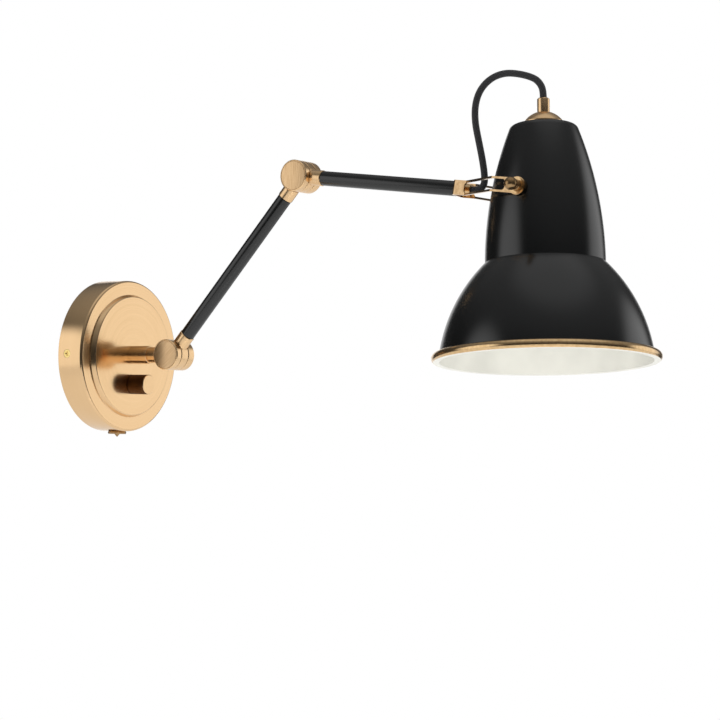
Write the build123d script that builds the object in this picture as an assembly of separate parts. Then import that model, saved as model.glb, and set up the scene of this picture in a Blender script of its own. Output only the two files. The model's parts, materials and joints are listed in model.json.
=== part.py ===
from build123d import *
from math import cos, radians, sin, tan
import os

# Folding wall lamp: a round back plate with a dimmer, two tube arms with drum knuckles, a fork and a
# bell shade. Millimetres. The origin is the middle of the plate's back, on the wall. +Y points into the
# wall, +X to the right of someone facing the wall, +Z up, so the lamp reaches out along -Y. Every piece
# lies as at rest.

# ---- back plate
PLATE_RADIUS = 60.0
PLATE_DEPTH = 23.4        # wall to the flat outer ring of the face
PLATE_WALL = 1.2
PLATE_EDGE_ROUND = 2.0
DISC_RADIUS = 47.2        # raised middle of the face
DISC_RISE = 3.7
DISC_FLARE = 1.4          # how much wider the step is at its foot
DISC_ROUND = 1.2

# ---- bracket behind the plate
BRACKET_THICKNESS = 1.5
BRACKET_HEIGHT = 24.0
BRACKET_EAR_HEIGHT = 14.0
BRACKET_EAR_DEPTH = 14.0
BRACKET_END_GAP = 0.5     # to the inside of the cover
WALL_SLOT_SPACING = 84.0
WALL_SLOT_LENGTH = 11.0
WALL_SLOT_WIDTH = 4.4
RIM_SCREW_DEPTH = 8.9     # from the wall
RIM_SCREW_RADIUS = 1.7
RIM_SCREW_HEAD_RADIUS = 3.2
RIM_SCREW_HEAD_DEPTH = 1.5
RIM_SCREW_LENGTH = 6.0
RIM_SCREW_RIM = 0.3       # straight edge of its countersunk head
RIM_SCREW_SINK = 0.15     # head below the rim's surface
CROSS_WIDTH = 0.8
CROSS_LENGTH = 3.6
CROSS_DEPTH = 1.0
RIM_NUT_DEPTH = 12.0      # from the wall
RIM_NUT_RADIUS = 7.4
RIM_NUT_THICKNESS = 2.2
RIM_NUT_NIB = 2.2
RIM_NUT_SHANK_RADIUS = 2.4
RIM_NUT_SHANK_LENGTH = 9.0
RIM_NUT_EDGE = 0.5
RIM_NUT_NIB_TIP = 0.3
RIM_LOCK_FLATS = 8.6
RIM_LOCK_STANDOFF = 0.3   # flat nut on the round inside of the rim
LOCK_NUT_THICKNESS = 3.0
EARTH_SCREW_X = -18.0
EARTH_SCREW_RADIUS = 2.0
EARTH_HEAD_RADIUS = 3.2
EARTH_HEAD_THICKNESS = 2.2
EARTH_WASHER = 7.2
EARTH_WASHER_THICKNESS = 1.0
EARTH_SLOT_WIDTH = 0.8
EARTH_SLOT_DEPTH = 1.0
TERMINAL_X = 18.0
TERMINAL_LENGTH = 20.0
TERMINAL_HEIGHT = 14.0
TERMINAL_DEPTH = 11.0
TERMINAL_WAY_RADIUS = 2.0
TERMINAL_SCREW_RADIUS = 1.6
TERMINAL_CHAMFER = 1.2

# ---- dimmer
DIMMER_DROP = 23.5        # below the post
DIMMER_BODY_SIDE = 22.0
DIMMER_BODY_DEPTH = 11.0
DIMMER_BODY_CORNER = 2.0
DIMMER_BUSH_RADIUS = 4.5
DIMMER_BUSH_REACH = 3.4   # beyond the face
DIMMER_NUT_FLATS = 11.0
DIMMER_NUT_THICKNESS = 2.0
SPINDLE_RADIUS = 3.0
SPINDLE_REACH = 11.0      # beyond the face
SPINDLE_FLAT = 1.0        # depth of the flat that keys the knob
SPINDLE_END_GAP = 0.3
KNOB_RADIUS = 7.8
KNOB_LENGTH = 15.8
KNOB_GAP = 0.4
KNOB_WALL = 1.0
KNOB_CHAMFER = 0.5
KNOB_FOOT_GAP = 0.5       # over the dimmer's bush

# ---- post
POST_Z = 1.0
POST_RADIUS = 7.15
POST_LENGTH = 17.4
POST_BORE_RADIUS = 3.6
POST_THREAD_RADIUS = 5.0
POST_THREAD_LENGTH = 9.0
POST_NUT_FLATS = 14.0
POST_SOCKET_DEPTH = 6.5
POST_SOCKET_RADIUS = 4.45
POST_SOCKET_END_GAP = 0.5

# ---- knuckle joints, the same at the wall and at the elbow
DRUM_RADIUS = 12.0
TONGUE_WIDTH = 8.2
GROOVE_WIDTH = 0.6
NEAR_DRUM_WIDTH = 5.6
FAR_DRUM_WIDTH = 7.4
DRUM_CHAMFER = 0.6
CAP_RADIUS = 10.9
CAP_THICKNESS = 1.0
PIVOT_RADIUS = 3.0
PIVOT_HEAD_RADIUS = 5.6
PIVOT_HEAD_THICKNESS = 2.4
PIVOT_SOCKET_FLATS = 4.0
PIVOT_SOCKET_DEPTH = 1.5
POCKET_CLEARANCE = 0.4    # radial, round the head and the nut
PIVOT_NUT_FLATS = 9.5
PIVOT_NUT_THICKNESS = 3.2
WASHER_RADIUS = 10.6
SWEEP_CLEARANCE = 0.35    # between a drum and the neck that passes round it
FERRULE_RADIUS = 6.0
FERRULE_END = 21.0        # from the pivot axis
WALL_NECK_RADIUS = 6.2
WALL_NECK_END = 22.2      # from the pivot axis to the post
SPIGOT_LENGTH = 12.0
WIRE_BORE_RADIUS = 2.6

# ---- arms
LOWER_ARM_LENGTH = 180.2  # pivot to pivot
LOWER_ARM_RISE = 48.9     # degrees above level
UPPER_ARM_REACH = 211.7   # elbow pivot to shade pivot
UPPER_ARM_DROP = 6.0      # degrees below level
TUBE_RADIUS = 5.55
TUBE_WALL = 0.95
TUBE_CHAMFER = 0.4
UPPER_TUBE_END = 139.0    # from the elbow pivot
END_PLUG_LENGTH = 8.0

# ---- fork
FORK_TWIST = 4.34         # degrees about the upper arm
STRIP_THICKNESS = 1.5
STRIP_HEIGHT = 10.8
FORK_BASE_HALF = 7.25     # middle of the strip
FORK_FLARE_START = 12.0   # from the end of the tube
FORK_FLARE_END = 52.0     # from the end of the tube
FORK_BEND_RADIUS = 2.5
CHEEK_X = 41.0            # middle of the strip
EYE_RADIUS = 6.4
FORK_SLOT_START = 10.5    # from the end of the tube
FORK_SLOT_HEIGHT = 7.8
FORK_SLOT_ROUND = 2.2
FORK_SLOT_TO_PIVOT = 9.6
STUD_RADIUS = 3.5
STUD_NUT_FLATS = 9.0
STUD_NUT_THICKNESS = 4.5
STUD_TUBE_RADIUS = 3.7
STUD_TUBE_CHAMFER = 0.5
STUD_REACH = 13.0         # from the end of the tube to the cord's exit
RETAINER_RADIUS = 4.4
RETAINER_THICKNESS = 2.0
RETAINER_GAP = 0.2

# ---- shade, heights from the plane of its rim along its own axis
SHADE_LEAN = 10.15        # degrees, top towards the wall, from square to the upper arm
SHADE_PIVOT_HEIGHT = 119.4
SHADE_WALL = 1.0
RIM_LIP = 0.8
BELL_EDGE_RADIUS = 79.0
BELL_MIDDLE_RADIUS = 66.8
BELL_MIDDLE_HEIGHT = 39.0
CREASE_HEIGHT = 73.0
CREASE_RADIUS = 43.2
NECK_MIDDLE_RADIUS = 38.2
NECK_MIDDLE_HEIGHT = 121.0
SHADE_HEIGHT = 174.0
NECK_TOP_RADIUS = 22.6
NECK_TOP_ROUND = 5.0
RIM_RADIUS = 81.3
RIM_BAND = 4.3
RIM_BEAD_FOOT = 1.1       # from the widest point in to the foot
RIM_BEAD_WIDEST = 2.0     # height of the widest point
RIM_BEAD_LAP = 0.6        # over the shell
CAP_DOME_RADIUS = 14.75
CAP_FLANGE = 1.0
CAP_DOME_HEIGHT = 5.4
CAP_SHOULDER = 0.5        # ledge from the flange to the dome
CAP_CROWN_RADIUS = 5.1    # flat under the grip
CAP_BULGE = 0.9           # of the dome above a straight cone
GRIP_RADIUS = 4.5
GRIP_LENGTH = 10.6
GRIP_CHAMFER = 0.8
GRIP_SCREW_RADIUS = 1.2
GRIP_SCREW_HEIGHT = 3.0
GRIP_SCREW_SLOT = 0.4
GRIP_SCREW_SLOT_DEPTH = 0.5
GRIP_SCREW_SINK = 0.1
NIPPLE_RADIUS = 3.2
NIPPLE_WALL = 1.0
NIPPLE_REACH_DOWN = 14.0
NIPPLE_REACH_UP = 5.0
NIPPLE_NUT_FLATS = 12.0
NIPPLE_NUT_THICKNESS = 3.0
BOSS_RADIUS = 6.0
BUSH_RADIUS = 4.0
BUSH_INNER_X = 34.5
THUMB_END_X = 33.5
SIDE_WASHER_RADIUS = 5.65
SIDE_WASHER_THICKNESS = 1.6
THUMB_SHANK_RADIUS = 2.0
THUMB_COLLAR_RADIUS = 4.0
THUMB_COLLAR_WIDTH = 1.8
THUMB_COLLAR_EDGE = 0.4
THUMB_NECK_RADIUS = 2.6
THUMB_NECK_WIDTH = 1.3
BALL_RADIUS = 4.65

# ---- lamp holder in the shade's neck
HOLDER_RADIUS = 19.5
HOLDER_DROP = 6.0         # below the top of the shade
HOLDER_CAP_HEIGHT = 18.0
HOLDER_CAP_TOP_RADIUS = 10.7
HOLDER_CAP_SKIRT = 7.2    # height of its straight part
HOLDER_CAP_TOP_ROUND = 3.0
HOLDER_CAP_SIDE_ROUND = 5.0
HOLDER_BODY_HEIGHT = 36.0
HOLDER_WALL = 2.0
HOLDER_FLOOR = 5.5
HOLDER_EDGE = 1.0
SLEEVE_BORE_RADIUS = 13.4  # medium Edison screw
SLEEVE_WALL = 0.8
SLEEVE_LENGTH = 26.0
SLEEVE_RECESS = 2.0
CONTACT_RADIUS = 4.0
CONTACT_HEIGHT = 1.6

# ---- cord
CORD_RADIUS = 2.5
CORD_ROUTE_MIDDLE = [
    (0.2, -346.2, 123.8),
    (0.3, -346.3, 131.0),
    (0.6, -343.8, 143.5),
    (1.0, -340.2, 157.0),
    (1.4, -336.8, 170.0),
    (1.8, -336.2, 182.6),
    (2.2, -339.8, 193.6),
    (2.8, -348.2, 201.6),
    (3.4, -359.5, 205.0),
    (3.9, -372.2, 203.4),
    (4.8, -382.8, 200.0),
    (5.3, -387.4, 196.2),
]
CORD_RUN_OUT_OF_STUD = 5.4
CORD_RUN_INTO_GRIP = 6.0

# ---- clearances
RUNNING = 0.05            # radial, a pin that turns in its hole
LOOSE = 0.05              # radial, a fastener in its hole
FACE = 0.05               # between faces that slide
SEAT_GAP = 0.15           # between a saddle and the spun shell


def bar_x(radius, start, end):
    """A cylinder along X."""
    return Pos((start + end) / 2, 0, 0) * Rot(0, 90, 0) * Cylinder(radius, abs(end - start))


def bar_y(radius, start, end):
    """A cylinder along Y."""
    return Pos(0, (start + end) / 2, 0) * Rot(90, 0, 0) * Cylinder(radius, abs(end - start))


def bar_z(radius, start, end):
    """A cylinder along Z."""
    return Pos(0, 0, (start + end) / 2) * Cylinder(radius, abs(end - start))


def block(low, high):
    """A box between two corners."""
    middle = [(a + b) / 2 for a, b in zip(low, high)]
    return Pos(*middle) * Box(*[abs(b - a) for a, b in zip(low, high)])


def turned(corners, axis, rounds=()):
    """A solid of revolution from an outline in the plane of its axis, with some corners rounded."""
    outline = make_face(Polyline(*corners, close=True))
    for corner, radius in rounds:
        outline = fillet(outline.vertices().sort_by_distance(corner)[0], radius)
    return revolve(outline, axis)


def turned_z(corners, rounds=()):
    """Outline points are (radius, height)."""
    return Rot(90, 0, 0) * turned(corners, Axis.Y, rounds)


def hexagon_y(flats, start, end):
    """A hexagonal prism along Y."""
    prism = extrude(RegularPolygon(flats / 2, 6, major_radius=False), abs(end - start))
    return Pos(0, max(start, end), 0) * Rot(90, 0, 0) * prism


def hexagon_x(flats, start, end):
    """A hexagonal prism along X."""
    prism = extrude(RegularPolygon(flats / 2, 6, major_radius=False), abs(end - start))
    return Pos(min(start, end), 0, 0) * Rot(0, 90, 0) * prism


def hexagon_z(flats, start, end):
    """A hexagonal prism along Z."""
    prism = extrude(RegularPolygon(flats / 2, 6, major_radius=False), abs(end - start))
    return Pos(0, 0, min(start, end)) * prism


def group(*pieces):
    """Separate solids kept in one node."""
    return Compound(children=[solid for piece in pieces for solid in piece.solids()])


# ---- frames: each carries what is built round its own pivot to where it lies at rest
DISC_FACE = -(PLATE_DEPTH + DISC_RISE)
POST_END = DISC_FACE - POST_LENGTH
WALL_PIVOT_Y = POST_END - WALL_NECK_END
WALL_FRAME = Pos(0, WALL_PIVOT_Y, POST_Z)
LOWER_FRAME = WALL_FRAME * Rot(-LOWER_ARM_RISE, 0, 0)
ELBOW_ON_LOWER = LOWER_FRAME * Pos(0, -LOWER_ARM_LENGTH, 0)
UPPER_FRAME = Pos(
    0,
    WALL_PIVOT_Y - LOWER_ARM_LENGTH * cos(radians(LOWER_ARM_RISE)),
    POST_Z + LOWER_ARM_LENGTH * sin(radians(LOWER_ARM_RISE)),
) * Rot(UPPER_ARM_DROP, 0, 0)
FORK_FRAME = UPPER_FRAME * Rot(0, FORK_TWIST, 0)
SHADE_PIVOT_FRAME = FORK_FRAME * Pos(0, -UPPER_ARM_REACH, 0) * Rot(-SHADE_LEAN, 0, 0)
SHADE_FRAME = SHADE_PIVOT_FRAME * Pos(0, 0, -SHADE_PIVOT_HEIGHT)
DIMMER_FRAME = Pos(0, 0, POST_Z - DIMMER_DROP)

# ---- stations along the knuckle's axis
TONGUE_FACE = TONGUE_WIDTH / 2
DRUM_FACE = TONGUE_FACE + GROOVE_WIDTH
NEAR_END = -(DRUM_FACE + NEAR_DRUM_WIDTH)
FAR_END = DRUM_FACE + FAR_DRUM_WIDTH
PIVOT_HOLE_RADIUS = PIVOT_RADIUS + RUNNING
HEAD_SEAT = NEAR_END + CAP_THICKNESS + PIVOT_HEAD_THICKNESS + FACE
NUT_SEAT = FAR_END - CAP_THICKNESS - PIVOT_NUT_THICKNESS - FACE
POCKET_RADIUS = PIVOT_HEAD_RADIUS + POCKET_CLEARANCE
TONGUE_ROOT = DRUM_RADIUS * 0.75   # where the ferrule starts inside the middle drum
TUBE_BORE_RADIUS = TUBE_RADIUS - TUBE_WALL
SPIGOT_RADIUS = TUBE_BORE_RADIUS - LOOSE


# ---- wall side

def backplate_cover():
    """A drawn cup with a raised middle, open towards the wall."""
    hole = POST_THREAD_RADIUS + LOOSE
    inside = -PLATE_DEPTH + PLATE_WALL
    raised = DISC_FACE + PLATE_WALL
    corners = [
        (PLATE_RADIUS, 0),
        (PLATE_RADIUS, -PLATE_DEPTH),
        (DISC_RADIUS + DISC_FLARE, -PLATE_DEPTH),
        (DISC_RADIUS, DISC_FACE),
        (0, DISC_FACE),
        (0, raised),
        (DISC_RADIUS - PLATE_WALL, raised),
        (DISC_RADIUS + DISC_FLARE - PLATE_WALL, inside),
        (PLATE_RADIUS - PLATE_WALL, inside),
        (PLATE_RADIUS - PLATE_WALL, 0),
    ]
    rounds = [
        (corners[1], PLATE_EDGE_ROUND),
        (corners[2], DISC_ROUND / 2),
        (corners[3], DISC_ROUND),
    ]
    cup = turned(corners, Axis.Y, rounds)
    cup -= Pos(0, 0, POST_Z) * bar_y(hole, DISC_FACE - 1, raised + 1)
    cup -= DIMMER_FRAME * bar_y(DIMMER_BUSH_RADIUS + LOOSE, DISC_FACE - 1, raised + 1)
    for side in (0, 180):
        cup -= rim_screw_place(side) * rim_screw_solid(LOOSE)
    rim_nut_hole = bar_z(RIM_NUT_SHANK_RADIUS + LOOSE, -PLATE_RADIUS - 1, -PLATE_RADIUS + PLATE_WALL + 1)
    return cup - Pos(0, -RIM_NUT_DEPTH, 0) * rim_nut_hole


def rim_screw_place(turn):
    """Puts a screw that points towards -X onto the rim at three or nine o'clock."""
    return Pos(0, -RIM_SCREW_DEPTH, 0) * Rot(0, turn, 0)


def rim_screw_solid(extra=0.0):
    """A countersunk screw through the rim at three o'clock, pointing to the middle."""
    head = RIM_SCREW_HEAD_RADIUS + extra
    shank = RIM_SCREW_RADIUS + extra
    outer = PLATE_RADIUS + (1.0 if extra else -RIM_SCREW_SINK)
    inner = PLATE_RADIUS - RIM_SCREW_HEAD_DEPTH
    corners = [
        (PLATE_RADIUS - RIM_SCREW_LENGTH - extra, 0),
        (PLATE_RADIUS - RIM_SCREW_LENGTH - extra, shank),
        (inner, shank),
        (PLATE_RADIUS - RIM_SCREW_RIM, head),
        (outer, head),
        (outer, 0),
    ]
    return turned(corners, Axis.X)


def rim_screws():
    """The two cross-head screws that hold the cover on the bracket's ears."""
    bar = Box(2 * CROSS_DEPTH, CROSS_WIDTH, CROSS_LENGTH)
    cross = Pos(PLATE_RADIUS - RIM_SCREW_SINK, 0, 0) * (bar + Rot(90, 0, 0) * bar)
    screw = rim_screw_solid() - cross
    return group(*[rim_screw_place(turn) * screw for turn in (0, 180)])


def mounting_bracket():
    """A flat bar across the wall with slots for the wall screws and an ear at each end for a rim screw."""
    ear_face = PLATE_RADIUS - PLATE_WALL - BRACKET_END_GAP
    bar = block((-ear_face, -BRACKET_THICKNESS, -BRACKET_HEIGHT / 2), (ear_face, 0, BRACKET_HEIGHT / 2))
    corner_cut = bar_y(ear_face, -BRACKET_THICKNESS, 0)
    bar = bar & corner_cut
    for side in (-1, 1):
        inner = side * (ear_face - BRACKET_THICKNESS)
        ear = block(
            (inner, -BRACKET_EAR_DEPTH, -BRACKET_EAR_HEIGHT / 2),
            (side * ear_face, 0, BRACKET_EAR_HEIGHT / 2),
        )
        bar += ear & bar_y(ear_face + BRACKET_END_GAP / 2, -BRACKET_EAR_DEPTH, 0)
        hole = bar_x(RIM_SCREW_RADIUS + LOOSE, inner - side, side * PLATE_RADIUS)
        bar -= Pos(0, -RIM_SCREW_DEPTH, 0) * hole
        slot = extrude(SlotOverall(WALL_SLOT_LENGTH, WALL_SLOT_WIDTH), 4 * BRACKET_THICKNESS)
        bar -= Pos(side * WALL_SLOT_SPACING / 2, BRACKET_THICKNESS, 0) * Rot(90, 0, 0) * slot
    earth_hole = bar_y(EARTH_SCREW_RADIUS + LOOSE, -2 * BRACKET_THICKNESS, BRACKET_THICKNESS)
    return bar - Pos(EARTH_SCREW_X, 0, 0) * earth_hole


def earth_screw():
    """A pan-head screw with a square washer, for the earth wire."""
    half = EARTH_WASHER / 2
    seat = -BRACKET_THICKNESS - EARTH_WASHER_THICKNESS
    washer = block((-half, seat, -half), (half, -BRACKET_THICKNESS, half))
    top = seat - EARTH_HEAD_THICKNESS
    head = bar_y(EARTH_HEAD_RADIUS, top, seat)
    shank = bar_y(EARTH_SCREW_RADIUS, seat, -FACE)
    slot = Pos(0, top, 0) * Box(2 * half, 2 * EARTH_SLOT_DEPTH, EARTH_SLOT_WIDTH)
    return Pos(EARTH_SCREW_X, 0, 0) * (washer + head + shank - slot)


def terminal_block():
    """A two-way connector seated on the bracket, with its wire ways running up and down."""
    front = -BRACKET_THICKNESS - TERMINAL_DEPTH
    body = block(
        (-TERMINAL_LENGTH / 2, front, -TERMINAL_HEIGHT / 2),
        (TERMINAL_LENGTH / 2, -BRACKET_THICKNESS, TERMINAL_HEIGHT / 2),
    )
    body = chamfer(body.edges().filter_by(Axis.Z).group_by(Axis.Y)[0], TERMINAL_CHAMFER)
    for side in (-1, 1):
        x = side * TERMINAL_LENGTH / 4
        way = bar_z(TERMINAL_WAY_RADIUS, -TERMINAL_HEIGHT, TERMINAL_HEIGHT)
        body -= Pos(x, (front - BRACKET_THICKNESS) / 2, 0) * way
        body -= Pos(x, 0, 0) * bar_y(TERMINAL_SCREW_RADIUS, front - 1, front + TERMINAL_DEPTH / 2)
    return Pos(TERMINAL_X, 0, 0) * body


def rim_cap_nut():
    """A flat round screw head with a small nib, under the rim at six o'clock."""
    top = -PLATE_RADIUS
    bottom = top - RIM_NUT_THICKNESS
    corners = [
        (0, top + RIM_NUT_SHANK_LENGTH),
        (RIM_NUT_SHANK_RADIUS, top + RIM_NUT_SHANK_LENGTH),
        (RIM_NUT_SHANK_RADIUS, top),
        (RIM_NUT_RADIUS - RIM_NUT_EDGE, top),
        (RIM_NUT_RADIUS, top - RIM_NUT_THICKNESS / 2),
        (RIM_NUT_RADIUS - RIM_NUT_EDGE, bottom),
        (RIM_NUT_NIB, bottom),
        (RIM_NUT_NIB_TIP, bottom - RIM_NUT_NIB),
        (0, bottom - RIM_NUT_NIB),
    ]
    return Pos(0, -RIM_NUT_DEPTH, 0) * turned_z(corners)


def rim_lock_nut():
    """The nut on the rim screw, inside the cover."""
    seat = -PLATE_RADIUS + PLATE_WALL + RIM_LOCK_STANDOFF
    nut = hexagon_z(RIM_LOCK_FLATS, seat, seat + LOCK_NUT_THICKNESS)
    nut -= bar_z(RIM_NUT_SHANK_RADIUS + LOOSE, seat - 1, seat + LOCK_NUT_THICKNESS + 1)
    return Pos(0, -RIM_NUT_DEPTH, 0) * nut


def dimmer_body():
    """The rotary dimmer against the inside of the face, with its threaded bush through it."""
    back = DISC_FACE + PLATE_WALL
    half = DIMMER_BODY_SIDE / 2
    body = block((-half, back, -half), (half, back + DIMMER_BODY_DEPTH, half))
    body = fillet(body.edges().filter_by(Axis.Y), DIMMER_BODY_CORNER)
    body += bar_y(DIMMER_BUSH_RADIUS, DISC_FACE - DIMMER_BUSH_REACH, back)
    bore_start = DISC_FACE - DIMMER_BUSH_REACH - 1
    bore_end = back + DIMMER_BODY_DEPTH / 2
    return DIMMER_FRAME * (body - bar_y(SPINDLE_RADIUS + RUNNING, bore_start, bore_end))


def dimmer_nut():
    """The thin nut that clamps the dimmer's bush to the face, hidden by the knob."""
    front = DISC_FACE - DIMMER_NUT_THICKNESS
    nut = hexagon_y(DIMMER_NUT_FLATS, DISC_FACE, front)
    return DIMMER_FRAME * (nut - bar_y(DIMMER_BUSH_RADIUS + LOOSE, front - 1, DISC_FACE + 1))


def dimmer_spindle():
    """The turning shaft, with the flat that the knob's bore keys on."""
    inner = DISC_FACE + PLATE_WALL + DIMMER_BODY_DEPTH / 2 - SPINDLE_END_GAP
    tip = DISC_FACE - SPINDLE_REACH
    flat_start = DISC_FACE - DIMMER_BUSH_REACH - KNOB_FOOT_GAP
    flat = block(
        (-SPINDLE_RADIUS, tip - 1, SPINDLE_RADIUS - SPINDLE_FLAT),
        (SPINDLE_RADIUS, flat_start, SPINDLE_RADIUS + 1),
    )
    return DIMMER_FRAME * (bar_y(SPINDLE_RADIUS, tip, inner) - flat)


def dimmer_knob():
    """A plain round knob, hollow at its foot to clear the nut."""
    foot = DISC_FACE - KNOB_GAP
    end = foot - KNOB_LENGTH
    clear = DISC_FACE - DIMMER_BUSH_REACH - KNOB_FOOT_GAP
    floor = DISC_FACE - SPINDLE_REACH - SPINDLE_END_GAP
    bore = SPINDLE_RADIUS + LOOSE
    corners = [
        (KNOB_RADIUS - KNOB_WALL, foot),
        (KNOB_RADIUS, foot),
        (KNOB_RADIUS, end + KNOB_CHAMFER),
        (KNOB_RADIUS - KNOB_CHAMFER, end),
        (0, end),
        (0, floor),
        (bore, floor),
        (bore, clear),
        (KNOB_RADIUS - KNOB_WALL, clear),
    ]
    return DIMMER_FRAME * turned(corners, Axis.Y)


def post():
    """The hollow post, threaded into the face, with a socket for the wall knuckle's neck."""
    inner = DISC_FACE + POST_THREAD_LENGTH
    socket = POST_END + POST_SOCKET_DEPTH
    corners = [
        (POST_BORE_RADIUS, inner),
        (POST_THREAD_RADIUS, inner),
        (POST_THREAD_RADIUS, DISC_FACE),
        (POST_RADIUS, DISC_FACE),
        (POST_RADIUS, POST_END + TUBE_CHAMFER),
        (POST_RADIUS - TUBE_CHAMFER, POST_END),
        (POST_SOCKET_RADIUS, POST_END),
        (POST_SOCKET_RADIUS, socket),
        (POST_BORE_RADIUS, socket),
    ]
    return Pos(0, 0, POST_Z) * turned(corners, Axis.Y)


def post_lock_nut():
    """The nut behind the face that holds the post."""
    seat = DISC_FACE + PLATE_WALL
    nut = hexagon_y(POST_NUT_FLATS, seat, seat + LOCK_NUT_THICKNESS)
    nut -= bar_y(POST_THREAD_RADIUS + LOOSE, seat - 1, seat + LOCK_NUT_THICKNESS + 1)
    return Pos(0, 0, POST_Z) * nut


# ---- knuckles

def outer_drum(face, end, seat):
    """One outer drum: a disc with a pocket for the bolt's head or nut and a recess for its cap."""
    out = 1 if end > face else -1
    corners = [
        (face, PIVOT_HOLE_RADIUS),
        (face, DRUM_RADIUS - DRUM_CHAMFER / 2),
        (face + out * DRUM_CHAMFER / 2, DRUM_RADIUS),
        (end - out * DRUM_CHAMFER, DRUM_RADIUS),
        (end, DRUM_RADIUS - DRUM_CHAMFER),
        (end, CAP_RADIUS + LOOSE),
        (end - out * CAP_THICKNESS, CAP_RADIUS + LOOSE),
        (end - out * CAP_THICKNESS, POCKET_RADIUS),
        (seat, POCKET_RADIUS),
        (seat, PIVOT_HOLE_RADIUS),
    ]
    return turned(corners, Axis.X)


def knuckle_clevis(neck_radius, neck_end, spigot_radius, spigot_length):
    """Two outer drums on X, joined behind the tongue by a round neck that runs along +Y to its spigot."""
    drums = outer_drum(-DRUM_FACE, NEAR_END, HEAD_SEAT) + outer_drum(DRUM_FACE, FAR_END, NUT_SEAT)
    neck = bar_y(neck_radius, TONGUE_ROOT, neck_end)
    neck += bar_y(spigot_radius, neck_end, neck_end + spigot_length)
    neck -= bar_x(DRUM_RADIUS + SWEEP_CLEARANCE, -DRUM_FACE, DRUM_FACE)
    return drums + neck - bar_y(WIRE_BORE_RADIUS, TONGUE_ROOT, neck_end + spigot_length + 1)


def knuckle_tongue():
    """The middle drum, with a ferrule along -Y that stands clear of the outer drums, and its spigot."""
    rim = DRUM_CHAMFER / 2
    corners = [
        (-TONGUE_FACE, PIVOT_HOLE_RADIUS),
        (-TONGUE_FACE, DRUM_RADIUS - rim),
        (-TONGUE_FACE + rim, DRUM_RADIUS),
        (TONGUE_FACE - rim, DRUM_RADIUS),
        (TONGUE_FACE, DRUM_RADIUS - rim),
        (TONGUE_FACE, PIVOT_HOLE_RADIUS),
    ]
    ferrule = bar_y(FERRULE_RADIUS, -FERRULE_END, -TONGUE_ROOT)
    ferrule = chamfer(ferrule.edges().group_by(Axis.Y)[0], TUBE_CHAMFER)
    passing = DRUM_RADIUS + SWEEP_CLEARANCE
    for side in (-1, 1):
        ferrule -= bar_x(passing, side * TONGUE_FACE, side * (FERRULE_RADIUS + 1))
    spigot = bar_y(SPIGOT_RADIUS, -FERRULE_END - SPIGOT_LENGTH, -FERRULE_END)
    whole = turned(corners, Axis.X) + ferrule + spigot
    return whole - bar_y(WIRE_BORE_RADIUS, -FERRULE_END - SPIGOT_LENGTH - 1, -TONGUE_ROOT)


def pivot_bolt():
    """A low round head with a hexagon socket, and a plain shank through the three drums."""
    shank_end = FAR_END - CAP_THICKNESS - 2 * FACE
    head_start = HEAD_SEAT - PIVOT_HEAD_THICKNESS
    bolt = bar_x(PIVOT_HEAD_RADIUS, head_start, HEAD_SEAT) + bar_x(PIVOT_RADIUS, HEAD_SEAT, shank_end)
    return bolt - hexagon_x(PIVOT_SOCKET_FLATS, head_start, head_start + PIVOT_SOCKET_DEPTH)


def pivot_nut():
    """The hexagon nut in the far drum's pocket."""
    nut = hexagon_x(PIVOT_NUT_FLATS, NUT_SEAT, NUT_SEAT + PIVOT_NUT_THICKNESS)
    return nut - bar_x(PIVOT_RADIUS + LOOSE, NUT_SEAT - 1, FAR_END)


def friction_washers():
    """The two thin washers in the grooves between the drums."""
    hole = PIVOT_RADIUS + 2 * RUNNING
    ring = bar_x(WASHER_RADIUS, TONGUE_FACE, DRUM_FACE) - bar_x(hole, TONGUE_FACE - 1, DRUM_FACE + 1)
    return group(ring, Rot(0, 180, 0) * ring)


def knuckle_caps():
    """The two thin discs that close the ends of the knuckle."""
    near = bar_x(CAP_RADIUS, NEAR_END, NEAR_END + CAP_THICKNESS)
    far = bar_x(CAP_RADIUS, FAR_END - CAP_THICKNESS, FAR_END)
    return group(near, far)


# ---- arms

def arm_tube(start, end):
    """A straight tube along -Y with its ends eased."""
    corners = [
        (TUBE_BORE_RADIUS, -start),
        (TUBE_RADIUS - TUBE_CHAMFER, -start),
        (TUBE_RADIUS, -start - TUBE_CHAMFER),
        (TUBE_RADIUS, -end + TUBE_CHAMFER),
        (TUBE_RADIUS - TUBE_CHAMFER, -end),
        (TUBE_BORE_RADIUS, -end),
    ]
    return turned(corners, Axis.Y)


def tube_end_plug():
    """The bush pressed into the upper tube's end, in which the fork's stud turns."""
    start = UPPER_TUBE_END - END_PLUG_LENGTH
    plug = bar_y(SPIGOT_RADIUS, -UPPER_TUBE_END, -start)
    return plug - bar_y(STUD_RADIUS + RUNNING, -UPPER_TUBE_END - 1, -start + 1)


# ---- fork, along -Y from the elbow pivot

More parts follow.
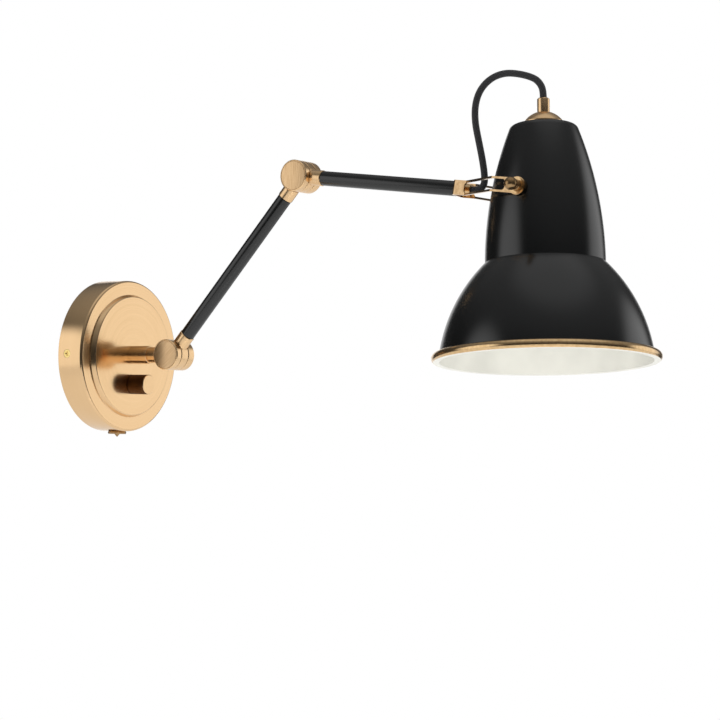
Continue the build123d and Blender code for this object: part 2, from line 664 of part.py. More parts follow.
def fork_bracket():
    """One bent strip: a narrow U on the tube's end that flares to a slotted cheek each side of the shade."""
    base = UPPER_TUBE_END + STRIP_THICKNESS / 2
    tip = UPPER_ARM_REACH + EYE_RADIUS
    half_plan = [
        (FORK_BASE_HALF, -base),
        (FORK_BASE_HALF, -(UPPER_TUBE_END + FORK_FLARE_START)),
        (CHEEK_X, -(UPPER_TUBE_END + FORK_FLARE_END)),
        (CHEEK_X, -tip),
    ]
    plan = [(-x, y) for x, y in reversed(half_plan)] + half_plan
    bends = [FORK_BEND_RADIUS] * (len(plan) - 2)
    strip = extrude(trace(FilletPolyline(*plan, radius=bends), STRIP_THICKNESS), 2 * EYE_RADIUS)
    strip = Pos(0, 0, -EYE_RADIUS) * strip
    width = 2 * (CHEEK_X + STRIP_THICKNESS)
    side_view = block(
        (-width / 2, -UPPER_ARM_REACH, -STRIP_HEIGHT / 2),
        (width / 2, -UPPER_TUBE_END, STRIP_HEIGHT / 2),
    ) + Pos(0, -UPPER_ARM_REACH, 0) * bar_x(EYE_RADIUS, -width / 2, width / 2)
    strip = strip & side_view
    slot_start = UPPER_TUBE_END + FORK_SLOT_START
    slot_end = UPPER_ARM_REACH - FORK_SLOT_TO_PIVOT
    slot = block(
        (-width / 2, -slot_end, -FORK_SLOT_HEIGHT / 2),
        (width / 2, -slot_start, FORK_SLOT_HEIGHT / 2),
    )
    slot = fillet(slot.edges().filter_by(Axis.X), FORK_SLOT_ROUND)
    strip -= slot
    strip -= Pos(0, -UPPER_ARM_REACH, 0) * bar_x(THUMB_SHANK_RADIUS + RUNNING, -width / 2, width / 2)
    return strip - bar_y(STUD_RADIUS + LOOSE, -base - STRIP_THICKNESS, -UPPER_TUBE_END + 1)


def fork_stud():
    """The stud that holds the fork and turns in the tube's end. The cord fills its bore and comes out."""
    retainer_end = UPPER_TUBE_END - END_PLUG_LENGTH - RETAINER_GAP - RETAINER_THICKNESS
    nut_start = UPPER_TUBE_END + STRIP_THICKNESS
    stud = bar_y(STUD_RADIUS, -nut_start, -retainer_end)
    stud += hexagon_y(STUD_NUT_FLATS, -nut_start, -nut_start - STUD_NUT_THICKNESS)
    tube = bar_y(STUD_TUBE_RADIUS, -UPPER_TUBE_END - STUD_REACH, -nut_start - STUD_NUT_THICKNESS)
    tube = chamfer(tube.edges().group_by(Axis.Y)[0], STUD_TUBE_CHAMFER)
    return stud + tube


def stud_retainer():
    """The ring on the stud, inside the tube, that keeps it from pulling out."""
    start = UPPER_TUBE_END - END_PLUG_LENGTH - RETAINER_GAP
    ring = bar_y(RETAINER_RADIUS, -start, -start + RETAINER_THICKNESS)
    return ring - bar_y(STUD_RADIUS + LOOSE, -start - 1, -start + RETAINER_THICKNESS + 1)


# ---- shade, built upright on its rim plane

def shade_body(grow=0.0):
    """The shade's outer form, solid: a bell, a sharp crease, a drawn-in neck and a flat top."""
    edge = (BELL_EDGE_RADIUS + grow, RIM_LIP)
    crease = (CREASE_RADIUS + grow, CREASE_HEIGHT)
    top = (NECK_TOP_RADIUS + grow, SHADE_HEIGHT)
    bell = ThreePointArc(edge, (BELL_MIDDLE_RADIUS + grow, BELL_MIDDLE_HEIGHT), crease)
    neck = ThreePointArc(crease, (NECK_MIDDLE_RADIUS + grow, NECK_MIDDLE_HEIGHT), top)
    rest = Polyline(top, (0, SHADE_HEIGHT), (0, RIM_LIP), edge)
    outline = make_face(Curve() + [bell, neck, rest])
    corner = outline.vertices().sort_by_distance(top)[0]
    return Rot(90, 0, 0) * revolve(fillet(corner, NECK_TOP_ROUND), Axis.Y)


def shade_shell():
    """The spun shell, with holes for the nipple and the two side bushes."""
    solid = shade_body()
    mouth = solid.faces().filter_by(Axis.Z).sort_by(Axis.Z)[0]
    shell = offset(solid, amount=-SHADE_WALL, openings=mouth)
    shell -= bar_z(NIPPLE_RADIUS + LOOSE, SHADE_HEIGHT - 3, SHADE_HEIGHT + 1)
    holes = bar_x(BUSH_RADIUS + LOOSE, -CHEEK_X, CHEEK_X)
    return shell - Pos(0, 0, SHADE_PIVOT_HEIGHT) * holes


def rim_ring():
    """The rolled ring round the shade's edge: a round bead outside and a thin lip under the edge."""
    inner = BELL_EDGE_RADIUS - SHADE_WALL
    foot = (RIM_RADIUS - RIM_BEAD_FOOT, 0)
    top = (BELL_EDGE_RADIUS - RIM_BEAD_LAP, RIM_BAND)
    bead = ThreePointArc(foot, (RIM_RADIUS, RIM_BEAD_WIDEST), top)
    rest = Polyline(top, (inner, RIM_BAND), (inner, 0), foot)
    ring = Rot(90, 0, 0) * revolve(make_face(Curve() + [bead, rest]), Axis.Y)
    return ring - shade_body()


def top_cap():
    """The low dome on the shade's flat top."""
    hole = NIPPLE_RADIUS + LOOSE
    flange_top = SHADE_HEIGHT + CAP_FLANGE
    crown = SHADE_HEIGHT + CAP_DOME_HEIGHT
    foot_radius = CAP_DOME_RADIUS - CAP_SHOULDER
    middle = ((foot_radius + CAP_CROWN_RADIUS) / 2 + CAP_BULGE / 2, (flange_top + crown) / 2 + CAP_BULGE)
    dome = ThreePointArc((foot_radius, flange_top), middle, (CAP_CROWN_RADIUS, crown))
    rest = Polyline(
        (CAP_CROWN_RADIUS, crown),
        (hole, crown),
        (hole, SHADE_HEIGHT),
        (CAP_DOME_RADIUS, SHADE_HEIGHT),
        (CAP_DOME_RADIUS, flange_top),
        (foot_radius, flange_top),
    )
    return Rot(90, 0, 0) * revolve(make_face(Curve() + [dome, rest]), Axis.Y)


GRIP_BASE = SHADE_HEIGHT + CAP_DOME_HEIGHT
GRIP_TOP = GRIP_BASE + GRIP_LENGTH


def cord_grip():
    """The small cylinder that grips the cord, screwed on the nipple. The cord fills its bore."""
    socket = GRIP_BASE + NIPPLE_REACH_UP + FACE
    corners = [
        (NIPPLE_RADIUS + LOOSE, GRIP_BASE),
        (GRIP_RADIUS, GRIP_BASE),
        (GRIP_RADIUS, GRIP_TOP - GRIP_CHAMFER),
        (GRIP_RADIUS - GRIP_CHAMFER, GRIP_TOP),
        (0, GRIP_TOP),
        (0, socket),
        (NIPPLE_RADIUS + LOOSE, socket),
    ]
    hole = bar_y(GRIP_SCREW_RADIUS + LOOSE, -GRIP_RADIUS - 1, 0)
    return turned_z(corners) - Pos(0, 0, GRIP_BASE + GRIP_SCREW_HEIGHT) * hole


def grip_screw():
    """The grub screw in the side of the grip."""
    front = -GRIP_RADIUS + GRIP_SCREW_SINK
    screw = bar_y(GRIP_SCREW_RADIUS, front, -NIPPLE_RADIUS)
    slot = Pos(0, front, 0) * Box(2 * GRIP_SCREW_RADIUS, 2 * GRIP_SCREW_SLOT_DEPTH, GRIP_SCREW_SLOT)
    return Pos(0, 0, GRIP_BASE + GRIP_SCREW_HEIGHT) * (screw - slot)


def holder_nipple():
    """The hollow nipple from the lamp holder up into the grip."""
    top = GRIP_BASE + NIPPLE_REACH_UP
    bottom = SHADE_HEIGHT - NIPPLE_REACH_DOWN
    return bar_z(NIPPLE_RADIUS, bottom, top) - bar_z(NIPPLE_RADIUS - NIPPLE_WALL, bottom - 1, top + 1)


def nipple_nut():
    """The nut that clamps the nipple under the shade's top."""
    seat = SHADE_HEIGHT - SHADE_WALL
    nut = hexagon_z(NIPPLE_NUT_FLATS, seat - NIPPLE_NUT_THICKNESS, seat)
    return nut - bar_z(NIPPLE_RADIUS + LOOSE, seat - NIPPLE_NUT_THICKNESS - 1, seat + 1)


HOLDER_TOP = SHADE_HEIGHT - HOLDER_DROP
HOLDER_JOIN = HOLDER_TOP - HOLDER_CAP_HEIGHT
HOLDER_MOUTH = HOLDER_JOIN - HOLDER_BODY_HEIGHT


def lampholder_cap():
    """The domed upper half of the lamp holder, screwed on the nipple."""
    hole = NIPPLE_RADIUS + LOOSE
    skirt = HOLDER_JOIN + HOLDER_CAP_SKIRT
    corners = [
        (hole, HOLDER_TOP),
        (HOLDER_CAP_TOP_RADIUS, HOLDER_TOP),
        (HOLDER_RADIUS, skirt),
        (HOLDER_RADIUS, HOLDER_JOIN),
        (HOLDER_RADIUS - HOLDER_WALL, HOLDER_JOIN),
        (HOLDER_RADIUS - HOLDER_WALL, skirt),
        (HOLDER_CAP_TOP_RADIUS - HOLDER_WALL / 2, HOLDER_TOP - HOLDER_WALL),
        (hole, HOLDER_TOP - HOLDER_WALL),
    ]
    return turned_z(corners, [(corners[1], HOLDER_CAP_TOP_ROUND), (corners[2], HOLDER_CAP_SIDE_ROUND)])


def lampholder_body():
    """The lower half: an insulating cup with its floor at the top and its mouth down."""
    floor = HOLDER_JOIN - HOLDER_FLOOR
    bore = SLEEVE_BORE_RADIUS + SLEEVE_WALL + LOOSE
    cup = bar_z(HOLDER_RADIUS, HOLDER_MOUTH, HOLDER_JOIN) - bar_z(bore, HOLDER_MOUTH - 1, floor)
    return chamfer(cup.edges().group_by(Axis.Z)[0].sort_by(SortBy.LENGTH)[-1], HOLDER_EDGE)


def thread_sleeve():
    """The metal sleeve that takes the lamp's screw cap."""
    start = HOLDER_MOUTH + SLEEVE_RECESS
    sleeve = bar_z(SLEEVE_BORE_RADIUS + SLEEVE_WALL, start, start + SLEEVE_LENGTH)
    return sleeve - bar_z(SLEEVE_BORE_RADIUS, start - 1, start + SLEEVE_LENGTH + 1)


def centre_contact():
    """The centre contact on the floor of the holder."""
    floor = HOLDER_JOIN - HOLDER_FLOOR
    return bar_z(CONTACT_RADIUS, floor - CONTACT_HEIGHT, floor)


CHEEK_INSIDE = CHEEK_X - STRIP_THICKNESS / 2
CHEEK_OUTSIDE = CHEEK_X + STRIP_THICKNESS / 2
SIDE_WASHER_FACE = CHEEK_OUTSIDE + FACE
THUMB_FACE = SIDE_WASHER_FACE + SIDE_WASHER_THICKNESS


def side_bushes():
    """The two flanged bushes through the neck's sides, between the shell and the fork's cheeks."""
    flange = bar_x(BOSS_RADIUS, BUSH_INNER_X, CHEEK_INSIDE - FACE)
    flange -= Pos(0, 0, -SHADE_PIVOT_HEIGHT) * shade_body(SEAT_GAP)
    shank = bar_x(BUSH_RADIUS, BUSH_INNER_X, CHEEK_INSIDE - FACE)
    bush = flange + shank - bar_x(THUMB_SHANK_RADIUS + RUNNING, BUSH_INNER_X - 1, CHEEK_X)
    return group(bush, mirror(bush, Plane.YZ))


def side_washers():
    """The washers between the fork's cheeks and the thumb screws."""
    hole = bar_x(THUMB_SHANK_RADIUS + RUNNING, SIDE_WASHER_FACE - 1, THUMB_FACE + 1)
    washer = bar_x(SIDE_WASHER_RADIUS, SIDE_WASHER_FACE, THUMB_FACE) - hole
    return group(washer, Rot(0, 180, 0) * washer)


def thumb_screw():
    """A ball-headed thumb screw pointing towards -X: shank, collar, slim neck and ball."""
    collar_end = THUMB_FACE + THUMB_COLLAR_WIDTH
    ball_centre = collar_end + THUMB_NECK_WIDTH + (BALL_RADIUS**2 - THUMB_NECK_RADIUS**2) ** 0.5
    screw = bar_x(THUMB_SHANK_RADIUS, THUMB_END_X, collar_end)
    collar = bar_x(THUMB_COLLAR_RADIUS, THUMB_FACE, collar_end)
    collar = chamfer(collar.edges().filter_by(GeomType.CIRCLE), THUMB_COLLAR_EDGE)
    neck = bar_x(THUMB_NECK_RADIUS, collar_end, ball_centre)
    return screw + collar + neck + Pos(ball_centre, 0, 0) * Sphere(BALL_RADIUS)


# ---- cord: out of the stud, up in a loop and down into the grip

def cord_path():
    """The cord's route: the chosen points between the stud's end and the grip's top."""
    start = (FORK_FRAME * Pos(0, -UPPER_TUBE_END - STUD_REACH, 0)).position
    beyond = (FORK_FRAME * Pos(0, -UPPER_TUBE_END - STUD_REACH - CORD_RUN_OUT_OF_STUD, 0)).position
    above = (SHADE_FRAME * Pos(0, 0, GRIP_TOP + CORD_RUN_INTO_GRIP)).position
    end = (SHADE_FRAME * Pos(0, 0, GRIP_TOP)).position
    return [start, beyond] + [Vector(*point) for point in CORD_ROUTE_MIDDLE] + [above, end]


def corner_radii(route):
    """Each corner's arc: 0.45 of its shorter run over the tangent of half its turn."""
    radii = []
    for before, corner, after in zip(route, route[1:], route[2:]):
        turn = (corner - before).get_angle(after - corner)
        shorter = min((corner - before).length, (after - corner).length)
        radii.append(0.45 * shorter / tan(radians(turn / 2)))
    return radii


def cord():
    """A tube of straight runs and tangent arcs along the route."""
    route = cord_path()
    radii = corner_radii(route)
    path = FilletPolyline(*route, radius=radii)
    section = Plane(origin=path @ 0, z_dir=path % 0) * Circle(CORD_RADIUS)
    tube = sweep(section, path=path)
    print("cord corner radii", [round(radius, 1) for radius in radii])
    print("cord length", round(path.length, 1), "volume", round(tube.volume, 1))
    print("cord section times length", round(section.area * path.length, 1))
    return tube


wall_clevis = knuckle_clevis(
    WALL_NECK_RADIUS,
    WALL_NECK_END,
    POST_SOCKET_RADIUS - LOOSE,
    POST_SOCKET_DEPTH - POST_SOCKET_END_GAP,
)
elbow_clevis = knuckle_clevis(FERRULE_RADIUS, FERRULE_END, SPIGOT_RADIUS, SPIGOT_LENGTH)

nodes = {
    "mounting_bracket": mounting_bracket(),
    "backplate_cover": backplate_cover(),
    "rim_screws": rim_screws(),
    "rim_cap_nut": rim_cap_nut(),
    "rim_lock_nut": rim_lock_nut(),
    "earth_screw": earth_screw(),
    "terminal_block": terminal_block(),
    "dimmer_body": dimmer_body(),
    "dimmer_nut": dimmer_nut(),
    "dimmer_spindle": dimmer_spindle(),
    "dimmer_knob": dimmer_knob(),
    "post": post(),
    "post_lock_nut": post_lock_nut(),
    "wall_clevis": WALL_FRAME * wall_clevis,
    "wall_pivot_bolt": WALL_FRAME * pivot_bolt(),
    "wall_pivot_nut": WALL_FRAME * pivot_nut(),
    "wall_friction_washers": WALL_FRAME * friction_washers(),
    "wall_knuckle_caps": WALL_FRAME * knuckle_caps(),
    "lower_arm_tongue": LOWER_FRAME * knuckle_tongue(),
    "lower_arm_tube": LOWER_FRAME * arm_tube(FERRULE_END, LOWER_ARM_LENGTH - FERRULE_END),
    "elbow_clevis": ELBOW_ON_LOWER * elbow_clevis,
    "elbow_pivot_bolt": ELBOW_ON_LOWER * pivot_bolt(),
    "elbow_pivot_nut": ELBOW_ON_LOWER * pivot_nut(),
    "elbow_friction_washers": ELBOW_ON_LOWER * friction_washers(),
    "elbow_knuckle_caps": ELBOW_ON_LOWER * knuckle_caps(),
    "upper_arm_tongue": UPPER_FRAME * knuckle_tongue(),
    "upper_arm_tube": UPPER_FRAME * arm_tube(FERRULE_END, UPPER_TUBE_END),
    "tube_end_plug": UPPER_FRAME * tube_end_plug(),
    "fork_bracket": FORK_FRAME * fork_bracket(),
    "fork_stud": FORK_FRAME * fork_stud(),
    "stud_retainer": FORK_FRAME * stud_retainer(),
    "cord": cord(),
    "shade_shell": SHADE_FRAME * shade_shell(),
    "rim_ring": SHADE_FRAME * rim_ring(),
    "top_cap": SHADE_FRAME * top_cap(),
    "cord_grip": SHADE_FRAME * cord_grip(),
    "grip_screw": SHADE_FRAME * grip_screw(),
    "holder_nipple": SHADE_FRAME * holder_nipple(),
    "nipple_nut": SHADE_FRAME * nipple_nut(),
    "lampholder_cap": SHADE_FRAME * lampholder_cap(),
    "lampholder_body": SHADE_FRAME * lampholder_body(),
    "thread_sleeve": SHADE_FRAME * thread_sleeve(),
    "centre_contact": SHADE_FRAME * centre_contact(),
    "side_bushes": SHADE_PIVOT_FRAME * side_bushes(),
    "side_washers": SHADE_PIVOT_FRAME * side_washers(),
    "near_thumb_screw": SHADE_PIVOT_FRAME * Rot(0, 180, 0) * thumb_screw(),
    "far_thumb_screw": SHADE_PIVOT_FRAME * thumb_screw(),
}

os.makedirs("parts", exist_ok=True)
for name, shape in nodes.items():
    export_step(shape, f"parts/{name}.step")
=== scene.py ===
"""Looks of the folding wall lamp: brushed brass, satin black paint, a braided cord and a cream-lined shade.

Metres. The origin is the middle of the plate's back, on the wall; +Y points into the wall and +Z up.
The sizes of turned parts are written in millimetres and brought to metres by MM.
"""

import json
from math import cos, pi, radians, sin

import bmesh
import bpy
import numpy as np
from mathutils import Matrix, Vector


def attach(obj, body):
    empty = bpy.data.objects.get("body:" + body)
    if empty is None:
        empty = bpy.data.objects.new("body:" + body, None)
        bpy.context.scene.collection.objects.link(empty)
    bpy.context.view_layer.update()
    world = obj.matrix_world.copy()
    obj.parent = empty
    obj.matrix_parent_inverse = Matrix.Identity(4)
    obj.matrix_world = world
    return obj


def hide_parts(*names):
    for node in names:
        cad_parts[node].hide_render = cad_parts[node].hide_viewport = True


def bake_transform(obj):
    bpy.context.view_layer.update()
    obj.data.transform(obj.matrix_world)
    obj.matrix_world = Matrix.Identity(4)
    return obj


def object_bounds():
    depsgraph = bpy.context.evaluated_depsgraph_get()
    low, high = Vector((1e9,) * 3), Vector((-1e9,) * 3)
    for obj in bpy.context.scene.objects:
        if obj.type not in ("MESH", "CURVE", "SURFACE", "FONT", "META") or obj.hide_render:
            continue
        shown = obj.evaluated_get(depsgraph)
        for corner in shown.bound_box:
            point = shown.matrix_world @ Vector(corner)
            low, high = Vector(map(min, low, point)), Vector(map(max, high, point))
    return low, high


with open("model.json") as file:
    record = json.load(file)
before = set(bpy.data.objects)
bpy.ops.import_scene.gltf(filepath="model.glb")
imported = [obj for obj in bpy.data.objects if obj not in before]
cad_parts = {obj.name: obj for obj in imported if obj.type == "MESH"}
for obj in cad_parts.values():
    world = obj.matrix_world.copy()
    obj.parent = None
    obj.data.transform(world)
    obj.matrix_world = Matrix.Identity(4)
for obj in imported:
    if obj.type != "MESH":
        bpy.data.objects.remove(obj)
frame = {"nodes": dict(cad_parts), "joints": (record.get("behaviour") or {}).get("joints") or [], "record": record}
cad_low, cad_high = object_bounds()
MM = 0.001

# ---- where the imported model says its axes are

joints = {joint["name"]: joint for joint in frame["joints"]}
mounts = {mount["name"]: mount for mount in frame["record"]["mounts"]}
WALL_PIVOT = Vector(joints["wall_pivot"]["pos_m"])
ELBOW_PIVOT = Vector(joints["elbow_pivot"]["pos_m"])
SHADE_PIVOT = Vector(joints["shade_tilt"]["pos_m"])
KNOB_PLACE = Vector(joints["knob_turn"]["pos_m"])
ALONG_LOWER = (ELBOW_PIVOT - WALL_PIVOT).normalized()
ALONG_UPPER = Vector(joints["fork_turn"]["axis"]).normalized()
ACROSS_SHADE = -Vector(joints["shade_tilt"]["axis"]).normalized()
UP_SHADE = -Vector(mounts["lamp_socket"]["axis"]).normalized()
SHADE_PIVOT_HEIGHT = 119.4 * MM


def place(origin, along, side):
    """A frame whose local Z is along, local X is side made square to it, and local Y their cross product."""
    z = Vector(along).normalized()
    x = (Vector(side) - z * z.dot(Vector(side))).normalized()
    return Matrix.Translation(Vector(origin)) @ Matrix((x, z.cross(x), z)).transposed().to_4x4()


OUT = Vector((0, -1, 0))
RIGHT = Vector((1, 0, 0))
PLATE = place((0, 0, 0), OUT, RIGHT)
POST = place((0, 0, WALL_PIVOT.z), OUT, RIGHT)
KNOB = place((0, 0, KNOB_PLACE.z), OUT, RIGHT)
WALL_KNUCKLE = place(WALL_PIVOT, RIGHT, OUT)
ELBOW_KNUCKLE = place(ELBOW_PIVOT, RIGHT, ALONG_LOWER)
FROM_WALL = place(WALL_PIVOT, ALONG_LOWER, RIGHT)
TO_WALL = place(WALL_PIVOT, -OUT, RIGHT)
BEFORE_ELBOW = place(ELBOW_PIVOT, -ALONG_LOWER, RIGHT)
FROM_ELBOW = place(ELBOW_PIVOT, ALONG_UPPER, RIGHT)
FORK = place(ELBOW_PIVOT, ALONG_UPPER, ACROSS_SHADE)
SHADE = place(SHADE_PIVOT - UP_SHADE * SHADE_PIVOT_HEIGHT, UP_SHADE, ACROSS_SHADE)


# ---- camera

CAMERA_PLACE = (-1.4379, -1.17516, -0.04604)
CAMERA_AZIMUTH = radians(-57.02)
CAMERA_ELEVATION = radians(-1.45)
CAMERA_ROLL = radians(1.08)
CAMERA_LENS = 115.0


def make_camera():
    """A long lens: forward is (-sin a cos e, cos a cos e, -sin e), and the roll turns right towards up."""
    a, e, roll = CAMERA_AZIMUTH, CAMERA_ELEVATION, CAMERA_ROLL
    forward = Vector((-sin(a) * cos(e), cos(a) * cos(e), -sin(e)))
    level = Vector((cos(a), sin(a), 0))
    upright = level.cross(forward)
    right = level * cos(roll) + upright * sin(roll)
    up = upright * cos(roll) - level * sin(roll)
    data = bpy.data.cameras.new("camera")
    data.lens = CAMERA_LENS
    data.sensor_width = 36.0
    data.clip_end = 50.0
    camera = bpy.data.objects.new("camera", data)
    turn = Matrix((right, up, -forward)).transposed().to_4x4()
    camera.matrix_world = Matrix.Translation(CAMERA_PLACE) @ turn
    bpy.context.scene.collection.objects.link(camera)
    bpy.context.scene.camera = camera


# ---- shader maths

class Field:
    """A value in a material's node tree. Its operators add Math nodes."""

    def __init__(self, shader, socket):
        self.shader = shader
        self.socket = socket

    def math(self, operation, *others, clamp=False):
        settings = {"operation": operation, "use_clamp": clamp}
        return self.shader.node("ShaderNodeMath", settings, dict(enumerate([self, *others])))

    def __add__(self, other):
        return self.math("ADD", other)

    def __sub__(self, other):
        return self.math("SUBTRACT", other)

    def __rsub__(self, other):
        return (self * -1.0) + other

    def __mul__(self, other):
        return self.math("MULTIPLY", other)

    __radd__ = __add__
    __rmul__ = __mul__


class Shader:
    """A node tree that is written as Python expressions."""

    def __init__(self, tree):
        self.tree = tree
        tree.nodes.clear()

    def node(self, kind, settings=None, inputs=None, output=0):
        """Adds a node: its settings first, then the values or links of its sockets. Returns one of its
        outputs."""
        made = self.tree.nodes.new(kind)
        for key, value in (settings or {}).items():
            setattr(made, key, value)
        for key, value in (inputs or {}).items():
            if isinstance(value, Field):
                self.tree.links.new(value.socket, made.inputs[key])
            else:
                made.inputs[key].default_value = value
        return Field(self, made.outputs[output]) if made.outputs else None

    def smoothstep(self, value, low, high):
        """0 below low, 1 above high and an S curve between."""
        return self.node(
            "ShaderNodeMapRange",
            {"interpolation_type": "SMOOTHSTEP"},
            {"Value": value, "From Min": low, "From Max": high},
        )

    def blend(self, factor, first, second):
        """Mixes two colours."""
        return self.node(
            "ShaderNodeMix", {"data_type": "RGBA"}, {"Factor": factor, 6: first, 7: second}, output=2
        )

    def noise(self, vector, scale, detail=2.0, roughness=0.5):
        return self.node(
            "ShaderNodeTexNoise",
            {},
            {"Vector": vector, "Scale": scale, "Detail": detail, "Roughness": roughness},
        )

    def vector(self, x, y, z):
        return self.node("ShaderNodeCombineXYZ", {}, {0: x, 1: y, 2: z})

    def parts(self, vector):
        """The three components of a vector."""
        first = self.node("ShaderNodeSeparateXYZ", {}, {0: vector})
        node = first.socket.node
        return [Field(self, node.outputs[k]) for k in range(3)]

    def coordinates(self, output):
        return self.node("ShaderNodeTexCoord", {}, {}, output=output)


def new_finish(name):
    """An empty material and the writer of its nodes."""
    material = bpy.data.materials.new(name)
    material.use_nodes = True
    return material, Shader(material.node_tree)


def close_finish(shader, surface, bump=None, bump_distance=0.0001, bump_strength=1.0):
    """Ends a material in the principled shader with the given sockets, and a bump where a height is given."""
    if bump is not None:
        surface["Normal"] = shader.node(
            "ShaderNodeBump", {}, {"Height": bump, "Distance": bump_distance, "Strength": bump_strength}
        )
    principled = shader.node("ShaderNodeBsdfPrincipled", {}, surface)
    shader.node("ShaderNodeOutputMaterial", {}, {"Surface": principled})


# ---- finishes

BRASS_LIGHT = (0.90, 0.63, 0.36, 1)
BRASS_WARM = (0.78, 0.50, 0.25, 1)
BRASS_BRUSHED = (0.60, 0.38, 0.19, 1)
# The knob's fluted brass side is painted dark brown. This is a painted reflection of the black shade, not the
# brass's own colour.
KNOB_PAINTED_REFLECTION_LIGHT = (0.16, 0.07, 0.024, 1)
KNOB_PAINTED_REFLECTION_DEEP = (0.035, 0.013, 0.005, 1)


def round_vector(shader, turns, lengthwise):
    """Noise coordinates on a turned part's own map: the angle as a circle of the given size, and the
    distance along the outline stretched by lengthwise, so marks run round the part where lengthwise is
    large."""
    u, v, _ = shader.parts(shader.coordinates("UV"))
    angle = u * (2 * pi)
    return shader.vector(angle.math("COSINE") * turns, angle.math("SINE") * turns, v * lengthwise)


def turned_brass(name, light, deep, roughness, ring_depth):
    """Brass turned on a lathe: fine marks run round it, with slow cloudy changes of tone."""
    material, shader = new_finish(name)
    rings = shader.noise(round_vector(shader, 0.35, 5200.0), 1.0, 3.0, 0.6)
    cloud = shader.noise(round_vector(shader, 0.8, 60.0), 1.3, 2.0)
    mark = shader.smoothstep(rings, 0.3, 0.7)
    colour = shader.blend(mark * 0.45 + cloud * 0.3, light, deep)
    rough = rings * 0.10 + (cloud * 0.06 + (roughness - 0.08))
    close_finish(
        shader,
        {"Base Color": colour, "Roughness": rough, "Metallic": 1.0},
        bump=rings,
        bump_distance=ring_depth,
    )
    return material


def straight_brass(name, light, deep, roughness, turn, depth):
    """Flat brass with straight brushing, turned by an angle in the plane of its map."""
    material, shader = new_finish(name)
    u, v, _ = shader.parts(shader.coordinates("UV"))
    across = u * (cos(turn) * 1700.0) + v * (sin(turn) * 1700.0)
    length = u * (-sin(turn) * 70.0) + v * (cos(turn) * 70.0)
    strokes = shader.noise(shader.vector(across, length, 0.0), 1.0, 3.0, 0.6)
    broad = shader.noise(shader.vector(across * 0.12, length * 0.5, 3.0), 1.0, 2.0)
    colour = shader.blend(shader.smoothstep(strokes, 0.3, 0.7) * 0.65 + broad * 0.3, light, deep)
    close_finish(
        shader,
        {"Base Color": colour, "Roughness": strokes * 0.12 + (roughness - 0.06), "Metallic": 1.0},
        bump=strokes,
        bump_distance=depth,
    )
    return material


def satin_paint(name, colour, roughness, grain, gloss=0.5):
    """Satin paint on metal: a fine orange peel with slight changes of gloss."""
    material, shader = new_finish(name)
    place_in_object = shader.coordinates("Object")
    peel = shader.noise(place_in_object, grain, 3.0, 0.55)
    cloud = shader.noise(place_in_object, 38.0, 2.0)
    tone = shader.blend(cloud, colour, tuple(0.75 * c for c in colour[:3]) + (1,))
    close_finish(
        shader,
        {
            "Base Color": tone,
            "Roughness": cloud * 0.05 + (peel * 0.02 + (roughness - 0.035)),
            "Specular IOR Level": gloss,
        },
        bump=peel,
        bump_distance=0.0000025,
    )
    return material


def plain_metal(name, light, deep, roughness, grain):
    """Plated or polished metal with a faint cloud in its colour and gloss."""
    material, shader = new_finish(name)
    cloud = shader.noise(shader.coordinates("Object"), grain, 3.0)
    colour = shader.blend(shader.smoothstep(cloud, 0.3, 0.75), light, deep)
    close_finish(
        shader,
        {"Base Color": colour, "Roughness": cloud * 0.14 + (roughness - 0.07), "Metallic": 1.0},
        bump=cloud,
        bump_distance=0.000015,
    )
    return material


def moulded(name, colour, roughness):
    """Moulded plastic with a fine matt skin."""
    material, shader = new_finish(name)
    skin = shader.noise(shader.coordinates("Object"), 1800.0, 2.0)
    tone = shader.blend(skin, colour, tuple(0.85 * c for c in colour[:3]) + (1,))
    close_finish(
        shader,
        {"Base Color": tone, "Roughness": skin * 0.1 + (roughness - 0.05)},
        bump=skin,
        bump_distance=0.00002,
    )
    return material


BRAID_STRANDS = 16
BRAID_PITCH = 0.0065


def braided(name):
    """Textile braid: two families of yarns wind round the cord and pass over and under each other. On
    the cord's map u is the angle and v the length; each family is a sine of u times the strands plus or
    minus v over the pitch."""
    material, shader = new_finish(name)
    u, v, _ = shader.parts(shader.coordinates("UV"))
    turn = u * (pi * BRAID_STRANDS)
    climb = v * (2 * pi / BRAID_PITCH * 2)
    right = (turn + climb).math("SINE")
    left = (turn - climb).math("SINE")
    over = turn.math("SINE") * climb.math("COSINE")
    yarns = right.math("ABSOLUTE").math("MAXIMUM", left.math("ABSOLUTE"))
    fuzz = shader.noise(shader.coordinates("Object"), 4200.0, 2.0)
    height = yarns * 0.7 + over * 0.15 + fuzz * 0.3
    # The colour is lighter on the yarns' crests and darker in the low gaps between them. The gaps carry painted
    # shade, and the fuzz adds a random change of tone.
    colour = shader.blend(
        shader.smoothstep(height, 0.35, 1.05), (0.003, 0.003, 0.004, 1), (0.022, 0.022, 0.024, 1)
    )
    close_finish(
        shader,
        {"Base Color": colour, "Roughness": 0.8, "Sheen Weight": 0.15, "Sheen Roughness": 0.5},
        bump=height,
        bump_distance=0.00012,
    )
    return material


